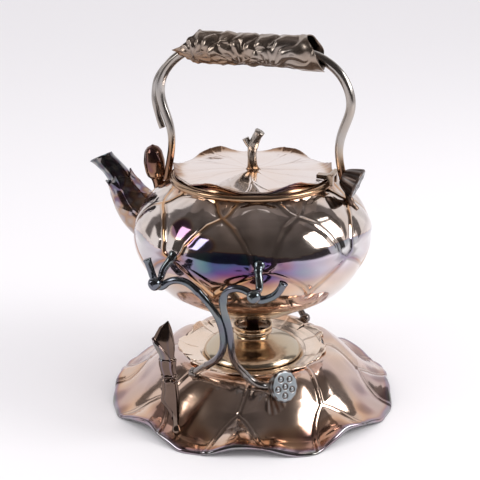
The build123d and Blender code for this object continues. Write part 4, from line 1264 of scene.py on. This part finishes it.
FURL_FOOT = np.array((-26.0, -103.5, 11.0))
FURL_TIP = np.array((-33.0, -96.5, 97.0))
FURL_FACES = 19.0  # degrees that its front is turned towards the hinge side
# Widths in mm to the left and right of the line from foot to tip, at shares of its length
FURL_RISE = np.array([0.0, 0.09, 0.17, 0.253, 0.367, 0.44, 0.473, 0.51, 0.571, 0.63, 0.66, 0.735, 0.833,
                      0.922, 0.971, 1.0])
FURL_LEFT = np.array([2.2, 3.8, 7.2, 9.6, 8.4, 7.6, 7.2, 7.9, 9.0, 9.2, 8.2, 10.2, 12.2, 8.6, 5.8, 1.6])
FURL_RIGHT = np.array([1.6, 2.2, 2.8, 3.3, 3.3, 2.8, 2.2, 2.7, 2.5, 3.1, 2.5, 3.0, 2.8, 1.8, 1.0, 0.4])


def furl_widths(u):
    """The roll's widths to the left and to the right at shares u of its length."""
    return [natural_curve(FURL_RISE, side, u.ravel())[:, None] for side in (FURL_LEFT, FURL_RIGHT)]


def furled_leaf():
    """A young leaf rolled up: a scroll with lengthwise folds, pinched once, under an open hood.

    Its width to the left and right of the line from foot to tip follows named sizes. Below, the
    roll is cut aslant and shows the far side of the sheet. In the hood the free edge runs down
    from the lobe on the left to the front, as a raised lip with a step behind it.
    """
    rows, cols = 300, 200
    u = np.linspace(0.09, 1, rows)[:, None]
    angle = circle(cols)
    left, right = furl_widths(u)
    half, middle = np.maximum((left + right) / 2, 0.4), (right - left) / 2
    across = np.cos(angle)
    front = np.sin(angle)
    hood = rising(u, 0.655, 0.006)
    edge_at = np.interp(across, [-1.0, -0.4, 0.1, 0.5], [0.84, 0.79, 0.70, 0.64])
    lip = hump(u - edge_at, 0.012) * (front > 0) * rising(-across, -0.45, 0.08)
    flap = rising(edge_at - u, 0, 0.008) * hood * (front > 0)
    pleats = np.cos(6 * angle + 1.2 * np.sin(u * 7))
    fold = 0.55 * pleats * (1 - 0.75 * hood) * np.clip((u - 0.1) * 8, 0, 1)
    pinch = 0.9 * hump(u - 0.500, 0.010) + 0.7 * hump(u - 0.452, 0.010) - 0.8 * hump(u - 0.476, 0.012)
    hem = 0.9 * hump(u - 0.648, 0.010)
    lift = fold + pinch + hem + 1.1 * lip + 0.9 * flap
    x = middle + (half + lift) * across
    y = -(0.62 * np.minimum(half, 8.0) + lift) * front
    slant = np.clip((0.30 - u) / 0.21, 0, 1)
    z_low = 0.055 + 0.20 * (0.5 - 0.5 * across) ** 1.3 * (0.5 + 0.5 * front)
    height = u + (z_low - 0.09) * slant
    height = height - 0.05 * np.clip((u - 0.9) / 0.1, 0, 1) * (0.5 - 0.5 * front)
    tall = np.linalg.norm(FURL_TIP - FURL_FOOT)
    points = np.stack([x, y, tall * height + 0 * x], -1)
    turn = np.radians(FURL_FACES)
    spin = np.array([[np.cos(turn), np.sin(turn), 0], [-np.sin(turn), np.cos(turn), 0], [0, 0, 1]])
    axis = (FURL_TIP - FURL_FOOT) / tall
    leaf = skin("furled_roll", upright(points @ spin, FURL_FOOT, axis))
    # The pleat crests are painted lilac and lighter as highlights, and so are the lip, flap, pinch and hem;
    # elsewhere the leaf is painted dark as shade, for a leaf that faces the dark room.
    highlight_stripe = rising(pleats, 0.80, 0.06) * rising(ripple(u * 60, 9 * angle, 0, 9, 2), -0.1, 0.2)
    film = 0.34 + 0.26 * highlight_stripe + 0.40 * flap * rising(-across, 0.3, 0.1)
    veil = 0.50 + 0.15 * highlight_stripe * (1 - hood)
    grime_and_shade = 0.80 - 0.72 * highlight_stripe * (1 - hood) - 0.45 * flap - 0.5 * lip - 0.4 * np.clip(pinch + hem, 0, 1)
    grime_and_shade = grime_and_shade + 0.06 * ripple(u * 90, across * 9, front * 9, 9, 1.0)
    toned(leaf, np.clip(film, 0, 1), np.clip(veil, 0, 1), np.clip(grime_and_shade, 0.03, 0.85))
    low = np.linspace(0.045, 0.30, 50)[:, None]
    left, right = furl_widths(low)
    width, centre = (left - 0.8 + right - 0.5) / 2, (right - 0.5 - left + 0.8) / 2
    angle = circle(48)
    back = np.stack([centre + width * np.cos(angle), 2.4 - 0.9 * np.sin(angle) + 0 * low,
                     tall * low + 0 * angle], -1)
    far = skin("furled_far_side", upright(back @ spin, FURL_FOOT, axis))
    stalk_path = smooth_path([FURL_FOOT - axis * 5.2, FURL_FOOT + axis * 2, FURL_FOOT + axis * 16], 40)
    bark = 2.1 + 1.4 * hump(np.linspace(0, 1, 40) - 0.18, 0.16)
    stalk = skin("furled_stalk", tube_rings(stalk_path, bark, (1, 0, 0), 24))
    # The far side inside the roll is painted dark as shade.
    toned(far, 0.38, 0.6, 0.82)
    toned(stalk, 0.20, 0.6, 0.62)
    return joined("furled_young_leaf", [leaf, far, stalk])


# =================================================================== lamp

def lamp_reservoir():
    """The spirit font: a domed drum with a soft shoulder, a flare and a plain neck."""
    outer = [(0.3, 25.5), (31.0, 25.5), (36.0, 27.2), (38.6, 32.5), (38.8, 35.6), (40.5, 36.4), (40.4, 37.8),
             (37.8, 41.0), (33.0, 43.6), (26.5, 45.6), (20.0, 47.2), (16.0, 48.8), (14.1, 50.6),
             (13.5, 52.4), (13.4, 54.0)]
    inner = [(11.7, 54.0), (11.7, 48.5), (16.0, 45.6), (27.0, 42.4), (34.0, 38.6), (36.0, 34.6), (33.0, 28.0),
             (30.0, 27.0), (0.3, 27.0)]
    profile = np.concatenate([rounded_profile(outer, 90), rounded_profile(inner, 50)])
    return skin("lamp_font", turned(profile, 144))


def burner_collar():
    """The burner: a rolled ring round a cup darkened by soot and painted shade, which stands on the neck, and
    the plug below it.
    """
    profile = [(5.0, 54.2), (5.0, 55.0), (13.6, 55.0), (14.3, 55.6), (14.8, 58.6), (15.3, 59.7),
               (16.1, 59.9), (16.6, 59.3), (16.4, 58.5), (15.7, 58.0), (15.5, 56.4), (15.6, 55.2),
               (16.1, 54.6), (16.1, 53.6), (15.4, 53.0), (15.2, 52.3), (14.6, 52.3), (14.6, 54.0),
               (13.9, 54.2), (11.5, 54.2), (11.45, 48.4), (10.2, 48.4), (10.1, 54.2)]
    # The cup is darkest deep inside and lighter up its wall: soot, and painted shade in the recess.
    soot_and_shade = [0.9] * 4 + [0.85, 0.55, 0.15, 0.1, 0.1, 0.35, 0.1, 0.1, 0.3, 0.1, 0.1, 0.35] + [0.6] * 7
    return toned(hoop("burner_ring", turned(profile, 120)), 0.16, 0.7, np.repeat(soot_and_shade, 120))


def wick_tube():
    """The brass tube that holds the wick, with a turned lip."""
    profile = [(3.95, 48.4), (4.9, 48.4), (4.9, 64.8), (5.15, 65.1), (5.1, 65.5), (4.7, 65.6), (3.95, 65.4)]
    return hoop("wick_holder", turned(profile, 64))


def wick():
    """A plaited cotton cord with a frayed, rounded top."""
    share = np.linspace(0, 1, 120)[:, None]
    angle = circle(48)
    z = 30.0 + share * 37.2
    plait = 0.14 * np.abs(np.sin(2 * angle + z / 1.3)) + 0.12 * np.abs(np.sin(2 * angle - z / 1.3))
    radius = (3.55 + plait) * np.clip(np.sqrt(np.clip((67.9 - z) / 2.4, 0, 1)), 0, 1)
    fray = 0.25 * np.clip((z - 65) / 2, 0, 1) * np.sin(9 * angle + 3 * z)
    return skin("plaited_wick", swept(radius, angle, z + fray))


# =================================================================== assembly

def dress_kettle():
    """The skins of the kettle body: shell, spout, bud, heel pod, handle and the four journals."""
    dress(kettle_body(), "kettle", "kettle_plate", KETTLE_PLATE, "kettle_body")
    dress(mouth_ring(), "kettle", "gilt", GILT_PLATE, "mouth_rim")
    dress(spout(), "kettle", "spout_plate", SPOUT_PLATE, "spout")
    dress(spout_sheath(), "kettle", "spout_plate", SPOUT_PLATE, "spout_leaf_collar")
    dress(bud(), "kettle", "pod_plate", BUD_PLATE, "bud")
    lean = np.radians(112)
    cup, seeds = seed_pod("heel_seed_pod", (72.5, 0, 192.2), (np.sin(lean), 0, np.cos(lean)), dull=0.35)
    cup = joined("heel_seed_pod", [cup, heel_stalk()])
    dress(cup, "kettle", "pod_plate", POD_PLATE, "heel_pod")
    dress(seeds, "kettle", "pod_plate", POD_PLATE, "heel_pod_seeds")
    dress(handle_rod(), "kettle", "twig_plate", TWIG_PLATE, "handle_rod")
    dress(side_twig(), "kettle", "twig_plate", TWIG_PLATE, "handle_twig")
    dress(grip(), "kettle", "twig_plate", GRIP_PLATE, "grip_leaf")
    for side_x, end in ((-1, "spout"), (1, "heel")):
        for side_y, face in ((-1, "front"), (1, "rear")):
            node = f"journal_{end}_{face}"
            dress(journal(node, side_x, side_y), "kettle", "stem_plate", STEM_PLATE, node)


def dress_lid():
    """The skins of the lid."""
    dress(lid_leaf(), "lid", "lid_plate", LID_PLATE, "lid_leaf")
    dress(lid_bezel(), "lid", "gilt", GILT_PLATE, "lid_bezel")
    dress(lid_knob(), "lid", "twig_plate", KNOB_PLATE, "lid_knob")


def dress_stand():
    """The skins of the stand, where the rear stems are the front ones turned half round."""
    dress(stand_base(), "stand", "base_plate", BASE_PLATE, "stand_base")
    dress(lamp_dish(), "stand", "lamp_plate", DISH_PLATE, "lamp_dish")
    dress(furled_leaf(), "stand", "base_plate", LEAF_PLATE, "furled_leaf")
    for half_turned, side in ((False, "front"), (True, "rear")):
        dress(foot_stem(half_turned, side), "stand", "stem_plate", STEM_PLATE, f"foot_stem_{side}")
        dress(pod_stem(half_turned, side), "stand", "stem_plate", STEM_PLATE, f"pod_stem_{side}")
        cup, seeds = seed_pod(f"stand_seed_pod_{side}", (41.5, -70.2, 42.6), (0.78, -0.53, 0.33), half_turned)
        dress(cup, "stand", "pod_plate", POD_PLATE, f"stand_pod_{side}")
        dress(seeds, "stand", "pod_plate", POD_PLATE, f"stand_pod_{side}_seeds")


def dress_lamp():
    """The skins of the lamp and of the burner that lifts out of it."""
    dress(lamp_reservoir(), "lamp", "lamp_plate", LAMP_PLATE, "lamp_reservoir")
    dress(burner_collar(), "burner", "lamp_plate", BURNER_PLATE, "burner_collar")
    dress(wick_tube(), "burner", "wick_tube_brass", BRASS, "wick_tube")
    dress(wick(), "burner", "wick_cotton", COTTON, "wick")


def finish_kept_nodes():
    """The small hinge pieces keep their own shapes and take a material."""
    for node in ("body_hinge_lugs", "hinge_pin", "lid_hinge_strap"):
        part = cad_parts[node]
        part.data.materials.clear()
        part.data.materials.append(HINGE_PLATE)


# =================================================================== studio

KETTLE_MIDDLE = np.array((AXIS_X, 0, 0.14))
ROOM_R = 2.3
SWEEP_HALF = 9.0


def plain_material(name, colour):
    """A matt material of one colour."""
    material = bpy.data.materials.new(name)
    material.use_nodes = True
    shader = material.node_tree.nodes["Principled BSDF"]
    shader.inputs["Base Color"].default_value = (*colour, 1)
    shader.inputs["Roughness"].default_value = 0.9
    return material


def screen(name, azimuth, half_width, low, high, material):
    """A patch of a sphere round the kettle that only polished metal sees.

    Its points are R (cos e cos a, cos e sin a, sin e) for azimuths a and elevations e.
    """
    turn = np.radians(azimuth + half_width * np.linspace(-1, 1, 33))[None, :]
    rise = np.radians(np.linspace(low, high, 21))[:, None]
    shape = [np.cos(rise) * np.cos(turn), np.cos(rise) * np.sin(turn), np.sin(rise) + 0 * turn]
    points = ROOM_R * np.stack(shape, -1).reshape(-1, 3) + KETTLE_MIDDLE
    mesh = bpy.data.meshes.new(name)
    mesh.from_pydata(points.tolist(), [], quads(21, 33, False, False).tolist())
    cloth = linked(name, mesh)
    cloth.data.materials.append(material)
    mark(cloth, "overhead", np.clip(rise - np.radians(40), 0, 1.2) / 1.2 + 0 * turn)
    cloth.visible_camera = cloth.visible_diffuse = cloth.visible_shadow = False


def dark_cloth():
    """The dark side of the room, a little lighter overhead and beyond."""
    material = plain_material("dark_cloth", (0.06, 0.052, 0.05))
    tree = material.node_tree
    field = tree.nodes.new("ShaderNodeAttribute")
    field.attribute_name = "overhead"
    shade = mix_node(tree, field.outputs["Fac"], (0.058, 0.050, 0.046, 1), (0.24, 0.215, 0.20, 1))
    tree.links.new(shade, tree.nodes["Principled BSDF"].inputs["Base Color"])
    return material


def soft_light(name, middle, width, height, power):
    """An area light aimed at the middle of the kettle."""
    light = bpy.data.lights.new(name, "AREA")
    light.shape = "RECTANGLE"
    light.size, light.size_y = width, height
    light.energy = power
    lamp = linked(name, light)
    lamp.location = middle
    lamp.rotation_euler = Vector(KETTLE_MIDDLE - middle).to_track_quat("-Z", "Y").to_euler()


def studio():
    """A white sweep and white air, the dark side of the room with two posts, and two soft lights."""
    mesh = bpy.data.meshes.new("floor")
    corners = SWEEP_HALF * np.array([(-1, -1, 0), (1, -1, 0), (1, 1, 0), (-1, 1, 0)])
    mesh.from_pydata(corners.tolist(), [], [(0, 1, 2, 3)])
    floor = linked("floor", mesh)
    floor.data.materials.append(plain_material("white_sweep", (0.90, 0.885, 0.90)))
    world = bpy.data.worlds.new("studio_air")
    bpy.context.scene.world = world
    world.use_nodes = True
    air = world.node_tree.nodes["Background"]
    air.inputs["Color"].default_value = (0.90, 0.885, 0.905, 1)
    air.inputs["Strength"].default_value = 1.0
    dark = dark_cloth()
    grey = plain_material("grey_post", (0.16, 0.15, 0.15))
    screen("dark_room", -71.0, 80.0, -3.0, 128.0, dark)
    screen("dark_left", -164.0, 13.0, 24.0, 75.0, dark)
    screen("dark_right", 21.0, 12.0, 24.0, 75.0, dark)
    screen("grey_post_heel", 40.0, 7.0, 2.0, 72.0, grey)
    screen("grey_post_spout", 176.0, 7.0, 2.0, 60.0, grey)
    soft_light("soft_left", (-1.1, -0.9, 1.0), 0.56, 0.60, 5)
    soft_light("soft_right", (1.3, 0.1, 0.88), 0.74, 0.66, 11)


VIEW_TURN, VIEW_RISE = np.radians(19.0), np.radians(19.4)
VIEW_AIM, VIEW_FAR = np.array((AXIS_X, 0, 0.1323)), 0.875
FILM_WIDTH, LENS, SHIFT = 36.0, 1088 / 480, -12.7 / 480  # the last two in widths of the view


def camera():
    """The view: 19.4 degrees above the table, turned 19 degrees towards the hinge side."""
    back = np.array((np.sin(VIEW_TURN) * np.cos(VIEW_RISE), -np.cos(VIEW_TURN) * np.cos(VIEW_RISE),
                     np.sin(VIEW_RISE)))
    data = bpy.data.cameras.new("camera")
    data.lens = FILM_WIDTH * LENS
    data.shift_x = SHIFT
    view = linked("camera", data)
    view.location = VIEW_AIM + VIEW_FAR * back
    view.rotation_euler = Vector(-back).to_track_quat("-Z", "Y").to_euler()
    bpy.context.scene.camera = view


dress_kettle()
dress_lid()
dress_stand()
dress_lamp()
finish_kept_nodes()
studio()
camera()
bpy.context.scene.view_settings.view_transform = "Standard"
